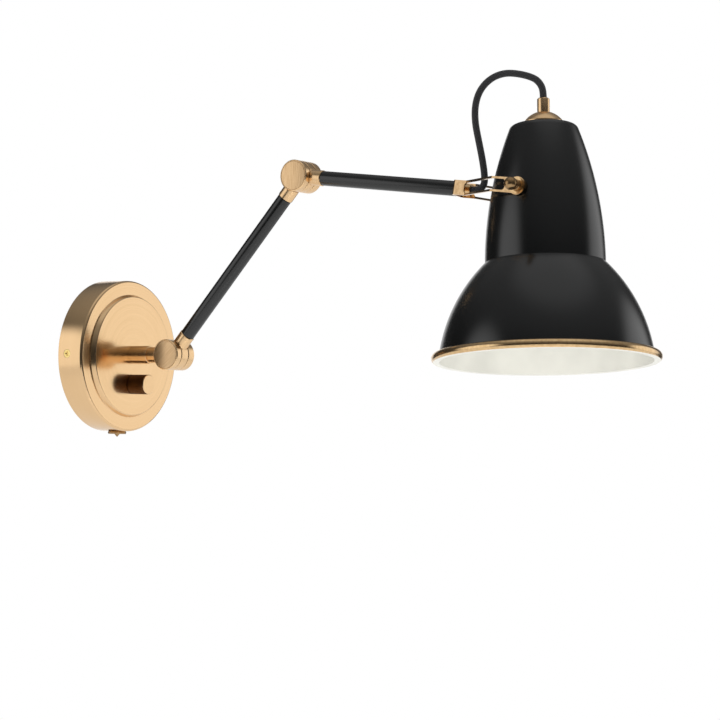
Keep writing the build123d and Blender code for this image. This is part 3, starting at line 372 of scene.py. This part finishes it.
finishes = {
    "plate": turned_brass("plate_brass", BRASS_LIGHT, BRASS_WARM, 0.17, 0.000003),
    "turned": turned_brass("turned_brass", BRASS_LIGHT, BRASS_WARM, 0.24, 0.000005),
    # knob: brushing over a dark brown that is a painted reflection of the black shade
    "knob": straight_brass("knob_side_painted_reflection", KNOB_PAINTED_REFLECTION_LIGHT, KNOB_PAINTED_REFLECTION_DEEP, 0.28, 0.0, 0.00002),
    "cap": straight_brass("brushed_cap_brass", BRASS_LIGHT, BRASS_BRUSHED, 0.30, radians(50), 0.000008),
    "strip": plain_metal("strip_brass", (0.74, 0.51, 0.28, 1), (0.56, 0.36, 0.18, 1), 0.14, 400.0),
    "bright": plain_metal("bright_brass", (0.86, 0.60, 0.32, 1), (0.70, 0.46, 0.23, 1), 0.18, 500.0),
    "screw": plain_metal("yellow_plate", (0.95, 0.74, 0.30, 1), (0.80, 0.58, 0.20, 1), 0.18, 500.0),
    "aged": plain_metal("aged_brass", (0.46, 0.30, 0.15, 1), (0.30, 0.18, 0.08, 1), 0.26, 260.0),
    "zinc": plain_metal("zinc_plate", (0.70, 0.70, 0.69, 1), (0.50, 0.51, 0.52, 1), 0.32, 220.0),
    "tube": satin_paint("tube_black", (0.0016, 0.0019, 0.002, 1), 0.23, 2600.0, 0.7),
    "shade": satin_paint("shade_black", (0.0010, 0.0013, 0.0014, 1), 0.22, 2200.0, 0.7),
    "lining": satin_paint("shade_cream", (0.88, 0.87, 0.80, 1), 0.55, 1500.0),
    "braid": braided("cord_braid"),
    "white": moulded("white_moulding", (0.82, 0.82, 0.78, 1), 0.45),
    "black": moulded("black_moulding", (0.018, 0.018, 0.018, 1), 0.42),
}


# ---- meshes

def rounded(corners, closed=True, arc_steps=6):
    """Outline through (radius, along, round) corners in millimetres. A corner with a round becomes an
    arc that is tangent to both its sides: centre = corner + bisector * round / sin(half the inner
    angle)."""
    points = []
    count = len(corners)
    for k, (x, y, bend) in enumerate(corners):
        here = np.array([x, y], float)
        if bend <= 0 or (not closed and k in (0, count - 1)):
            points.append(here)
            continue
        back = np.array(corners[k - 1][:2], float) - here
        ahead = np.array(corners[(k + 1) % count][:2], float) - here
        back_length, ahead_length = np.linalg.norm(back), np.linalg.norm(ahead)
        back, ahead = back / back_length, ahead / ahead_length
        half = np.arccos(np.clip(back @ ahead, -1, 1)) / 2
        reach = min(bend / np.tan(half), 0.49 * back_length, 0.49 * ahead_length)
        bend = reach * np.tan(half)
        centre = here + (back + ahead) / np.linalg.norm(back + ahead) * bend / np.sin(half)
        first, last = here + back * reach - centre, here + ahead * reach - centre
        sweep = pi - 2 * half
        share = np.linspace(0, 1, arc_steps + 1)
        arc = np.outer(np.sin((1 - share) * sweep), first) + np.outer(np.sin(share * sweep), last)
        points.extend(centre + arc / np.sin(sweep))
    return np.array(points)


def arc_through(start, middle, end, steps):
    """Points on the circle through three points: equal angles between the first and the last."""
    (ax, ay), (bx, by), (cx, cy) = start, middle, end
    twice = 2 * (ax * (by - cy) + bx * (cy - ay) + cx * (ay - by))
    ux = ((ax**2 + ay**2) * (by - cy) + (bx**2 + by**2) * (cy - ay) + (cx**2 + cy**2) * (ay - by)) / twice
    uy = ((ax**2 + ay**2) * (cx - bx) + (bx**2 + by**2) * (ax - cx) + (cx**2 + cy**2) * (bx - ax)) / twice
    centre = np.array([ux, uy])
    first, last = np.array(start) - centre, np.array(end) - centre
    radius = np.linalg.norm(first)
    angles = np.arctan2([first[1], last[1]], [first[0], last[0]])
    angles[1] -= 2 * pi * np.round((angles[1] - angles[0]) / (2 * pi))
    sweep = np.linspace(angles[0], angles[1], steps + 1)
    return centre + radius * np.stack([np.cos(sweep), np.sin(sweep)], 1)


def grid_mesh(points, wrap_rows, wrap_columns, across, along):
    """A mesh over a grid of points, rows by columns, with across and along as its map. A wrapped side
    joins its end to its start; rows that shrink to a point are merged to a pole."""
    rows, columns, _ = points.shape
    row = np.arange(rows if wrap_rows else rows - 1)
    column = np.arange(columns if wrap_columns else columns - 1)
    i, j = np.meshgrid(row, column, indexing="ij")
    i_next, j_next = (i + 1) % rows, (j + 1) % columns
    corners = [(i, j), (i, j_next), (i_next, j_next), (i_next, j)]
    faces = np.stack([a * columns + b for a, b in corners], -1).reshape(-1, 4)
    steps = [(i, j), (i, j + 1), (i + 1, j + 1), (i + 1, j)]
    spots = np.stack([np.stack([across[b], along[a]], -1) for a, b in steps], -2).reshape(-1, 2)
    mesh = bpy.data.meshes.new("grid")
    mesh.from_pydata(points.reshape(-1, 3).tolist(), [], faces.tolist())
    layer = mesh.uv_layers.new(name="map")
    layer.data.foreach_set("uv", spots.astype(np.float32).ravel())
    return mesh


def lengths_along(points, closed):
    """Distance along a line of points, with one more value for the way back to the start where it is
    closed."""
    line = np.vstack([points, points[:1]]) if closed else points
    return np.concatenate([[0], np.cumsum(np.linalg.norm(np.diff(line, axis=0), axis=1))])


def lathe(outline, closed=True, steps=96):
    """Surface of revolution: point (i, j) is (r_i cos a_j, r_i sin a_j, z_i) with a_j = 2 pi j / steps.
    The outline is in millimetres, the mesh in metres."""
    angle = np.arange(steps) * 2 * pi / steps
    radius, height = outline[:, 0] * MM, outline[:, 1] * MM
    points = np.stack(
        [
            np.outer(radius, np.cos(angle)),
            np.outer(radius, np.sin(angle)),
            np.repeat(height[:, None], steps, axis=1),
        ],
        -1,
    )
    across = np.arange(steps + 1) / steps
    return grid_mesh(points, closed, True, across, lengths_along(outline * MM, closed))


def turned(corners, steps=96, arc_steps=6):
    """A turned solid from (radius, along, round) corners. An outline with two corners on the axis is
    closed there."""
    on_axis = corners[0][0] == 0 and corners[-1][0] == 0
    return lathe(rounded(corners, not on_axis, arc_steps), not on_axis, steps)


SHARP = radians(32)


def piece(name, shells, body, nodes=()):
    """Joins shells, each a (mesh, frame, finish), into one object that rides on a body and stands for
    CAD nodes."""
    work = bmesh.new()
    names = []
    for mesh, where, finish in shells:
        before = len(work.faces)
        mesh.transform(where)
        work.from_mesh(mesh)
        work.faces.ensure_lookup_table()
        if finish not in names:
            names.append(finish)
        for face in work.faces[before:]:
            face.material_index = names.index(finish)
        bpy.data.meshes.remove(mesh)
    bmesh.ops.remove_doubles(work, verts=work.verts, dist=1e-7)
    bmesh.ops.recalc_face_normals(work, faces=work.faces)
    made = bpy.data.meshes.new(name)
    work.to_mesh(made)
    work.free()
    for finish in names:
        made.materials.append(finishes[finish])
    made.shade_smooth()
    made.set_sharp_from_angle(angle=SHARP)
    made_object = bpy.data.objects.new(name, made)
    bpy.context.scene.collection.objects.link(made_object)
    if body is not None:
        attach(made_object, body)
    if nodes:
        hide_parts(*nodes)
    return made_object


def drill(made_object, spots, radius, reach):
    """Round holes through a piece, along the local Z of each spot and from -reach to reach, kept in its
    mesh."""
    plugs = bmesh.new()
    for spot in spots:
        plug = turned([(0, -reach, 0), (radius, -reach, 0), (radius, reach, 0), (0, reach, 0)], 64)
        plug.transform(spot)
        plugs.from_mesh(plug)
        bpy.data.meshes.remove(plug)
    bmesh.ops.remove_doubles(plugs, verts=plugs.verts, dist=1e-7)
    bmesh.ops.recalc_face_normals(plugs, faces=plugs.faces)
    cutter_mesh = bpy.data.meshes.new("drill")
    plugs.to_mesh(cutter_mesh)
    plugs.free()
    cutter = bpy.data.objects.new("drill", cutter_mesh)
    bpy.context.scene.collection.objects.link(cutter)
    cut = made_object.modifiers.new("drill", "BOOLEAN")
    cut.operation = "DIFFERENCE"
    cut.solver = "EXACT"
    cut.object = cutter
    whole = made_object.evaluated_get(bpy.context.evaluated_depsgraph_get())
    drilled = bpy.data.meshes.new_from_object(whole)
    made_object.modifiers.clear()
    made_object.data = drilled
    drilled.shade_smooth()
    drilled.set_sharp_from_angle(angle=SHARP)
    bpy.data.objects.remove(cutter)
    bpy.data.meshes.remove(cutter_mesh)


# ---- cord

CORD_DIAMETER = 0.005
CORD_SIDES = 24
CORD_ROUTE_MIDDLE = [
    (0.2, -346.2, 123.8),
    (0.3, -346.3, 131.0),
    (0.6, -343.8, 143.5),
    (1.0, -340.2, 157.0),
    (1.4, -336.8, 170.0),
    (1.8, -336.2, 182.6),
    (2.2, -339.8, 193.6),
    (2.8, -348.2, 201.6),
    (3.4, -359.5, 205.0),
    (3.9, -372.2, 203.4),
    (4.8, -382.8, 200.0),
    (5.3, -387.4, 196.2),
]
STUD_EXIT = 152.0          # along the upper arm from the elbow
CORD_RUN_OUT = 5.4
GRIP_TOP = 190.0           # above the shade's rim plane
CORD_RUN_IN = 6.0


def cord_line():
    """The route as a smooth curve: a NURBS spline of order 3 with the route's points as its control
    points."""
    start = FORK @ Vector((0, 0, STUD_EXIT * MM))
    beyond = FORK @ Vector((0, 0, (STUD_EXIT + CORD_RUN_OUT) * MM))
    above = SHADE @ Vector((0, 0, (GRIP_TOP + CORD_RUN_IN) * MM))
    end = SHADE @ Vector((0, 0, GRIP_TOP * MM))
    route = [start, beyond] + [Vector(point) * MM for point in CORD_ROUTE_MIDDLE] + [above, end]
    curve = bpy.data.curves.new("cord_line", "CURVE")
    curve.dimensions = "3D"
    curve.resolution_u = 16
    spline = curve.splines.new("NURBS")
    spline.points.add(len(route) - 1)
    spline.points.foreach_set("co", [value for point in route for value in (*point, 1)])
    spline.order_u = 3
    spline.use_endpoint_u = True
    holder = bpy.data.objects.new("cord_line", curve)
    line_mesh = bpy.data.meshes.new_from_object(holder)
    line = np.array([vertex.co for vertex in line_mesh.vertices])
    bpy.data.objects.remove(holder)
    bpy.data.meshes.remove(line_mesh)
    return line


def make_cord():
    """A tube round the line: each ring lies square to it, on X made square to the line and on their
    cross product."""
    line = cord_line()
    ahead = np.gradient(line, axis=0)
    ahead /= np.linalg.norm(ahead, axis=1)[:, None]
    side = np.array([1.0, 0, 0]) - ahead * ahead[:, :1]
    side /= np.linalg.norm(side, axis=1)[:, None]
    third = np.cross(ahead, side)
    angle = np.arange(CORD_SIDES) * 2 * pi / CORD_SIDES
    ring = side[:, None] * np.cos(angle)[None, :, None] + third[:, None] * np.sin(angle)[None, :, None]
    tube = line[:, None] + ring * CORD_DIAMETER / 2
    first = np.repeat(line[:1, None], CORD_SIDES, 1)
    last = np.repeat(line[-1:, None], CORD_SIDES, 1)
    tube = np.concatenate([first, tube, last])
    along = lengths_along(line, False)
    along = np.concatenate([along[:1], along, along[-1:]])
    mesh = grid_mesh(tube, False, True, np.arange(CORD_SIDES + 1) / CORD_SIDES, along)
    cord = piece("braided_cord", [(mesh, Matrix.Identity(4), "braid")], None, ["cord"])
    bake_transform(cord)


# ---- floor, world and lamps

FLOOR_DROP = 0.9
FLOOR_SIZE = 6.0


def make_floor():
    """A plain pale floor, far below the lamp. It is pale by its own colour, so it keeps the lamp's shadow."""
    half = FLOOR_SIZE / 2
    mesh = bpy.data.meshes.new("floor")
    mesh.from_pydata(
        [(-half, -half, 0), (half, -half, 0), (half, half, 0), (-half, half, 0)], [], [(0, 1, 2, 3)]
    )
    mesh.transform(Matrix.Translation((0, 0, cad_low.z - FLOOR_DROP)))
    material, shader = new_finish("floor_white")
    grain = shader.noise(shader.coordinates("Object"), 30.0)
    tone = shader.blend(grain, (0.80, 0.80, 0.80, 1), (0.78, 0.78, 0.78, 1))
    diffuse = shader.node("ShaderNodeBsdfDiffuse", {}, {"Color": tone})
    shader.node("ShaderNodeOutputMaterial", {}, {"Surface": diffuse})
    mesh.materials.append(material)
    floor = bpy.data.objects.new("floor", mesh)
    bpy.context.scene.collection.objects.link(floor)


DAYLIGHT = 1.0


def make_world():
    """A white backdrop in a dim studio with a softbox on either side. The camera, reflections and clear
    parts see this studio; every other ray finds a plain even light."""
    world = bpy.data.worlds.new("studio")
    world.use_nodes = True
    bpy.context.scene.world = world
    shader = Shader(world.node_tree)
    direction = shader.coordinates("Generated")

    def towards(x, y, z):
        """Cosine of the angle to a direction."""
        unit = Vector((x, y, z)).normalized()
        return shader.node(
            "ShaderNodeVectorMath", {"operation": "DOT_PRODUCT"}, {0: direction, 1: tuple(unit)}, output=1
        )

    path = shader.node("ShaderNodeLightPath", {}, {}).socket.node
    camera, glossy, clear = [
        Field(shader, path.outputs[ray]) for ray in ("Is Camera Ray", "Is Glossy Ray", "Is Transmission Ray")
    ]
    backdrop = shader.smoothstep(towards(0.84, 0.54, 0.02), 0.90, 0.97).math("MAXIMUM", camera)
    left = shader.smoothstep(towards(-0.70, 0.71, 0.08), 0.85, 0.965)
    right = shader.smoothstep(towards(0.84, -0.54, 0.05), 0.84, 0.96)
    ceiling = shader.smoothstep(towards(0.0, -0.1, 1.0), 0.1, 0.9)
    above = shader.smoothstep(towards(0.0, -0.1, 1.0), 0.76, 0.95)
    level = (left * 1.0 + right * 1.0 + ceiling * 0.24 + above * 0.3 + 0.03).math("MAXIMUM", backdrop)
    studio = shader.node("ShaderNodeBackground", {}, {"Color": (1, 1, 1, 1), "Strength": level})
    plain = shader.node("ShaderNodeBackground", {}, {"Color": (1, 1, 1, 1), "Strength": DAYLIGHT})
    seen = camera.math("MAXIMUM", glossy).math("MAXIMUM", clear)
    mixed = shader.node("ShaderNodeMixShader", {}, {0: seen, 1: plain, 2: studio})
    shader.node("ShaderNodeOutputWorld", {}, {"Surface": mixed})


def make_lamp(name, position, target, size, power):
    """A softbox that faces a target. Reflections find the world's softboxes in its place."""
    data = bpy.data.lights.new(name, "AREA")
    data.shape = "RECTANGLE"
    data.size, data.size_y = size
    data.energy = power
    lamp = bpy.data.objects.new(name, data)
    lamp.location = position
    lamp.rotation_mode = "QUATERNION"
    lamp.rotation_quaternion = (Vector(target) - Vector(position)).to_track_quat("-Z", "Y")
    lamp.visible_glossy = False
    bpy.context.scene.collection.objects.link(lamp)


bpy.context.scene.view_settings.view_transform = "Standard"
make_camera()
make_floor()
make_world()
make_lamp("softbox_right", (1.3, -1.6, 0.5), (0, -0.25, 0.05), (1.2, 1.4), 6.0)
make_lamp("softbox_left", (-1.9, 0.6, 0.4), (0, -0.25, 0.05), (0.9, 1.6), 4.0)
make_lamp("below", (-0.7, -0.9, -0.7), (0, -0.4, 0.0), (0.8, 0.8), 6.0)
make_cord()

# ---- forms of the turned parts, in millimetres

DRUM_RADIUS = 12.0
TONGUE_FACE = 4.1
DRUM_FACE = 4.7
NEAR_END = -10.3
FAR_END = 12.1
CAP_RADIUS = 10.9
CAP_THICKNESS = 1.0
PASSING_RADIUS = 12.35     # what passes round a drum keeps this far from its axis
FERRULE_RADIUS = 6.0
FERRULE_END = 21.0
WALL_NECK_RADIUS = 6.2
WALL_NECK_END = 22.2
TUBE_RADIUS = 5.55
LOWER_TUBE_END = 159.2
UPPER_TUBE_END = 139.0


def drum(face, end, edge=0.6):
    """A drum from its inner face to its outer end, with a fine chamfer inside and a larger one outside."""
    out = 1 if end > face else -1
    inner = edge / 2
    return turned(
        [
            (0, face, 0),
            (DRUM_RADIUS - inner, face, 0.1),
            (DRUM_RADIUS, face + out * inner, 0.1),
            (DRUM_RADIUS, end - out * edge, 0.15),
            (DRUM_RADIUS - edge, end, 0.15),
            (CAP_RADIUS + 0.12, end, 0.1),
            (CAP_RADIUS + 0.12, end - out * CAP_THICKNESS, 0),
            (0, end - out * CAP_THICKNESS, 0),
        ],
        steps=128,
        arc_steps=3,
    )


def middle_drum():
    """The middle drum between its two chamfers."""
    edge = DRUM_RADIUS - 0.3
    return turned(
        [
            (0, -TONGUE_FACE, 0),
            (edge, -TONGUE_FACE, 0.1),
            (DRUM_RADIUS, 0.3 - TONGUE_FACE, 0.1),
            (DRUM_RADIUS, TONGUE_FACE - 0.3, 0.1),
            (edge, TONGUE_FACE, 0.1),
            (0, TONGUE_FACE, 0),
        ],
        steps=128,
        arc_steps=3,
    )


def cap_disc(outer, out):
    """The thin disc that closes a drum, sunk flush, with a softened edge."""
    inner = outer - out * CAP_THICKNESS
    mesh = turned(
        [(0, inner, 0), (CAP_RADIUS, inner, 0), (CAP_RADIUS, outer, 0.25), (0, outer, 0)],
        steps=96,
        arc_steps=4,
    )
    return flat_map(mesh)


def flat_map(mesh):
    """Lays a mesh's map flat on its own X and Y, in metres."""
    corner = np.empty(len(mesh.loops), np.int32)
    mesh.loops.foreach_get("vertex_index", corner)
    place_of = np.empty(len(mesh.vertices) * 3, np.float32)
    mesh.vertices.foreach_get("co", place_of)
    spots = place_of.reshape(-1, 3)[corner, :2]
    mesh.uv_layers[0].data.foreach_set("uv", np.ascontiguousarray(spots).ravel())
    return mesh


def neck(radius, end, passes, steps=96):
    """A round neck along Z that leaves a knuckle whose axis is X. Where |x| is within passes (low,
    high) it stops at the passing radius R from that axis, z = sqrt(R^2 - y^2), and elsewhere it starts
    inside the drum. Its far end is chamfered and closed."""
    angle = np.arange(steps) * 2 * pi / steps
    low, high = passes
    across = np.abs(radius * np.cos(angle))
    clear = np.sqrt(PASSING_RADIUS**2 - (radius * np.sin(angle)) ** 2)
    start = np.where((across >= low) & (across <= high), clear, DRUM_RADIUS * 0.8)
    rows = [start, *(start + (end - start) * share for share in (0.25, 0.5, 0.75)), np.full(steps, end - 0.4)]
    points = [np.stack([radius * np.cos(angle), radius * np.sin(angle), row], -1) for row in rows]
    for r in (radius - 0.4, 0.0):
        points.append(np.stack([r * np.cos(angle), r * np.sin(angle), np.full(steps, end)], -1))
    points.insert(0, np.stack([0 * angle, 0 * angle, start], -1))
    grid = np.array(points) * MM
    along = np.concatenate([[0], lengths_along(grid[1:, 0], False) + radius * MM])
    return grid_mesh(grid, False, True, np.arange(steps + 1) / steps, along)


def knuckle(name, where, neck_place, neck_radius, neck_end, body, clevis_node, caps_node):
    """The outer drums with their neck, and the two caps in them."""
    shells = [
        (drum(-DRUM_FACE, NEAR_END), where, "turned"),
        (drum(DRUM_FACE, FAR_END), where, "turned"),
        (neck(neck_radius, neck_end, (0.0, DRUM_FACE)), neck_place, "turned"),
    ]
    piece(name + "_drums", shells, body, [clevis_node])
    caps = [(cap_disc(NEAR_END, -1), where, "cap"), (cap_disc(FAR_END, 1), where, "cap")]
    piece(name + "_caps", caps, body, [caps_node])


def tongue(name, where, neck_place, body, node):
    """The middle drum with the ferrule that takes the tube."""
    shells = [
        (middle_drum(), where, "turned"),
        (neck(FERRULE_RADIUS, FERRULE_END, (TONGUE_FACE, FERRULE_RADIUS + 1)), neck_place, "turned"),
    ]
    piece(name, shells, body, [node])


def tube(name, where, start, end, body, node):
    """A painted tube with softened ends."""
    mesh = turned(
        [
            (0, start, 0),
            (TUBE_RADIUS - 0.4, start, 0.1),
            (TUBE_RADIUS, start + 0.4, 0.1),
            (TUBE_RADIUS, end - 0.4, 0.1),
            (TUBE_RADIUS - 0.4, end, 0.1),
            (0, end, 0),
        ],
        steps=64,
        arc_steps=2,
    )
    piece(name, [(mesh, where, "tube")], body, [node])


# ---- back plate, post and knob

RIM_SCREW_DEPTH = 8.9      # from the wall
SCREW_HOLE_RADIUS = 3.35

cover = piece(
    "plate_cover",
    [
        (
            turned(
                [
                    (0, 27.1, 0),
                    (47.2, 27.1, 1.2),
                    (48.6, 23.4, 0.6),
                    (60, 23.4, 2.0),
                    (60, 0, 0.2),
                    (58.8, 0, 0.2),
                    (58.8, 22.2, 0.8),
                    (47.4, 22.2, 0.3),
                    (46, 25.9, 0.3),
                    (0, 25.9, 0),
                ],
                steps=256,
                arc_steps=8,
            ),
            PLATE,
            "plate",
        )
    ],
    "wall_side",
    ["backplate_cover"],
)
screw_spots = [place((side * 59.4 * MM, -RIM_SCREW_DEPTH * MM, 0), RIGHT, OUT) for side in (-1, 1)]
drill(cover, screw_spots, SCREW_HOLE_RADIUS, 1.5)
piece(
    "post_tube",
    [(turned([(0, 27.12, 0), (7.15, 27.12, 0.1), (7.15, 44.5, 0.4), (0, 44.5, 0)], 96), POST, "turned")],
    "wall_side",
    ["post"],
)


def fluted(outline, flutes, depth, first, last):
    """A turned outline whose rows first to last are cut by fine lengthwise flutes: r - depth (1 -
    |sin(n a / 2)|)."""
    steps = flutes * 6
    angle = np.arange(steps) * 2 * pi / steps
    groove = depth * (1 - np.abs(np.sin(angle * flutes / 2)))
    radius = np.repeat(outline[:, :1], steps, axis=1)
    radius[first:last] -= groove
    height = np.repeat(outline[:, 1:], steps, axis=1)
    grid = np.stack([radius * np.cos(angle), radius * np.sin(angle), height], -1) * MM
    return grid_mesh(grid, False, True, np.arange(steps + 1) / steps, lengths_along(outline * MM, False))


knob_outline = np.array(
    [
        (0, 27.5),
        (7.0, 27.5),
        (7.7, 27.55),
        (7.8, 27.9),
        (7.8, 35.0),
        (7.8, 42.7),
        (7.7, 42.95),
        (7.3, 43.3),
        (0, 43.3),
    ]
)
piece(
    "knob",
    [
        # the fluted side takes the knob finish, whose dark brown is a painted reflection of the black shade
        (fluted(knob_outline[:7], 90, 0.09, 3, 6), KNOB, "knob"),
        (lathe(knob_outline[6:], False, 540), KNOB, "turned"),
    ],
    "dimmer_knob",
    ["dimmer_knob"],
)

# ---- arms

knuckle(
    "wall_knuckle",
    WALL_KNUCKLE,
    TO_WALL,
    WALL_NECK_RADIUS,
    WALL_NECK_END,
    "wall_side",
    "wall_clevis",
    "wall_knuckle_caps",
)
tongue("lower_arm_drum", WALL_KNUCKLE, FROM_WALL, "lower_arm", "lower_arm_tongue")
tube("lower_tube", FROM_WALL, FERRULE_END, LOWER_TUBE_END, "lower_arm", "lower_arm_tube")
knuckle(
    "elbow_knuckle",
    ELBOW_KNUCKLE,
    BEFORE_ELBOW,
    FERRULE_RADIUS,
    FERRULE_END,
    "lower_arm",
    "elbow_clevis",
    "elbow_knuckle_caps",
)
tongue("upper_arm_drum", ELBOW_KNUCKLE, FROM_ELBOW, "upper_arm", "upper_arm_tongue")
tube("upper_tube", FROM_ELBOW, FERRULE_END, UPPER_TUBE_END, "upper_arm", "upper_arm_tube")

# ---- shade

SHADE_WALL = 1.0
BELL = [(76.3, 0.8), (65.4, 39.0), (42.8, 70.6)]
NECK = [(42.8, 70.6), (37.8, 121.0), (23.9, 169.3)]
CAP_SEAT = (15.0, 171.4)


def shade_outline():
    """The outside from the edge up: the bell's arc, the crease, the neck's arc, a round of 5, a low
    cone and the flat seat of the cap."""
    bell = arc_through(*BELL, 28)
    neck_line = arc_through(*NECK, 32)[1:-3]
    corner = rounded([(*neck_line[-1], 0), (*NECK[-1], 5.0), (*CAP_SEAT, 0), (0, CAP_SEAT[1], 0)], False, 8)
    return np.vstack([bell, neck_line[:-1], corner])


def inside_of(outline, wall):
    """An outline moved to its left by the wall, square to its mean direction at each point."""
    ahead = np.gradient(outline, axis=0)
    ahead /= np.linalg.norm(ahead, axis=1)[:, None]
    return outline + np.stack([-ahead[:, 1], ahead[:, 0]], -1) * wall


outside = shade_outline()
inside = inside_of(outside, SHADE_WALL)
inside[0] = (BELL[0][0] - SHADE_WALL, 0.8)
inside[-1, 0] = 0
piece(
    "bell_shade",
    [
        (lathe(outside, False, 256), SHADE, "shade"),
        (lathe(np.vstack([outside[:1], inside]), False, 256), SHADE, "lining"),
    ],
    "shade",
    ["shade_shell"],
)
bead = arc_through((80.0, 0.02), (81.28, 2.7), (76.2, 5.9), 24)
under = np.array([(75.35, 0.8), (75.4, 0.1), (75.6, 0.02), (80.0, 0.02)])
bead = np.vstack([bead, [(75.4, 5.8), (75.6, 0.8), (75.35, 0.8)]])
piece(
    "rim_bead",
    [(lathe(bead, False, 256), SHADE, "bright"), (lathe(under, False, 256), SHADE, "lining")],
    "shade",
    ["rim_ring"],
)
dome = arc_through((14.25, 172.4), (10.13, 176.8), (5.1, 179.4), 12)
flange = [(0, 171.42), (14.6, 171.42), (14.75, 171.6), (14.75, 172.2), (14.6, 172.4)]
piece(
    "neck_cap",
    [(lathe(np.vstack([flange, dome, [(0, 179.4)]]), False, 128), SHADE, "turned")],
    "shade",
    ["top_cap"],
)
piece(
    "grip_cylinder",
    [
        (
            turned(
                [(0, 179.42, 0), (4.5, 179.42, 0.15), (4.5, 189.2, 0.1), (3.7, 190.0, 0.1), (0, 190.0, 0)],
                96,
                4,
            ),
            SHADE,
            "turned",
        )
    ],
    "shade",
    ["cord_grip"],
)


def ball_screw(name, side):
    """A thumb screw on the given side: shank, washer-like collar, slim neck and ball, all on one outline."""
    ball = arc_through((2.6, 46.505), (4.65, 50.36), (0.0, 55.01), 24)
    lower = rounded(
        [
            (0, 33.5, 0),
            (2.0, 33.5, 0.3),
            (2.0, 43.4, 0),
            (3.6, 43.4, 0.15),
            (4.0, 43.8, 0.1),
            (4.0, 44.8, 0.1),
            (3.6, 45.2, 0.15),
            (2.6, 45.2, 0.3),
            (2.6, 46.505, 0),
        ],
        False,
        4,
    )
    mesh = lathe(np.vstack([lower[:-1], ball]), False, 96)
    where = place(SHADE_PIVOT, ACROSS_SHADE * side, UP_SHADE)
    screw = name.replace("_ball", "_screw")
    piece(name, [(mesh, where, "aged")], screw, [screw])


ball_screw("near_thumb_ball", -1)
ball_screw("far_thumb_ball", 1)

# ---- CAD nodes that keep their shape

KEPT = {
    "screw": [
        "rim_screws",
    ],
    "bright": [
        "earth_screw",
        "tube_end_plug",
        "fork_stud",
        "side_bushes",
        "side_washers",
        "thread_sleeve",
        "centre_contact",
    ],
    "strip": [
        "fork_bracket",
    ],
    "aged": [
        "rim_cap_nut",
    ],
    "zinc": [
        "mounting_bracket",
        "rim_lock_nut",
        "dimmer_nut",
        "dimmer_spindle",
        "post_lock_nut",
        "wall_pivot_bolt",
        "wall_pivot_nut",
        "elbow_pivot_bolt",
        "elbow_pivot_nut",
        "stud_retainer",
        "grip_screw",
        "holder_nipple",
        "nipple_nut",
    ],
    "white": [
        "terminal_block",
    ],
    "black": [
        "dimmer_body",
        "wall_friction_washers",
        "elbow_friction_washers",
        "lampholder_cap",
        "lampholder_body",
    ],
}
for finish, nodes in KEPT.items():
    for node in nodes:
        node_object = frame["nodes"][node]
        node_object.data.materials.clear()
        node_object.data.materials.append(finishes[finish])
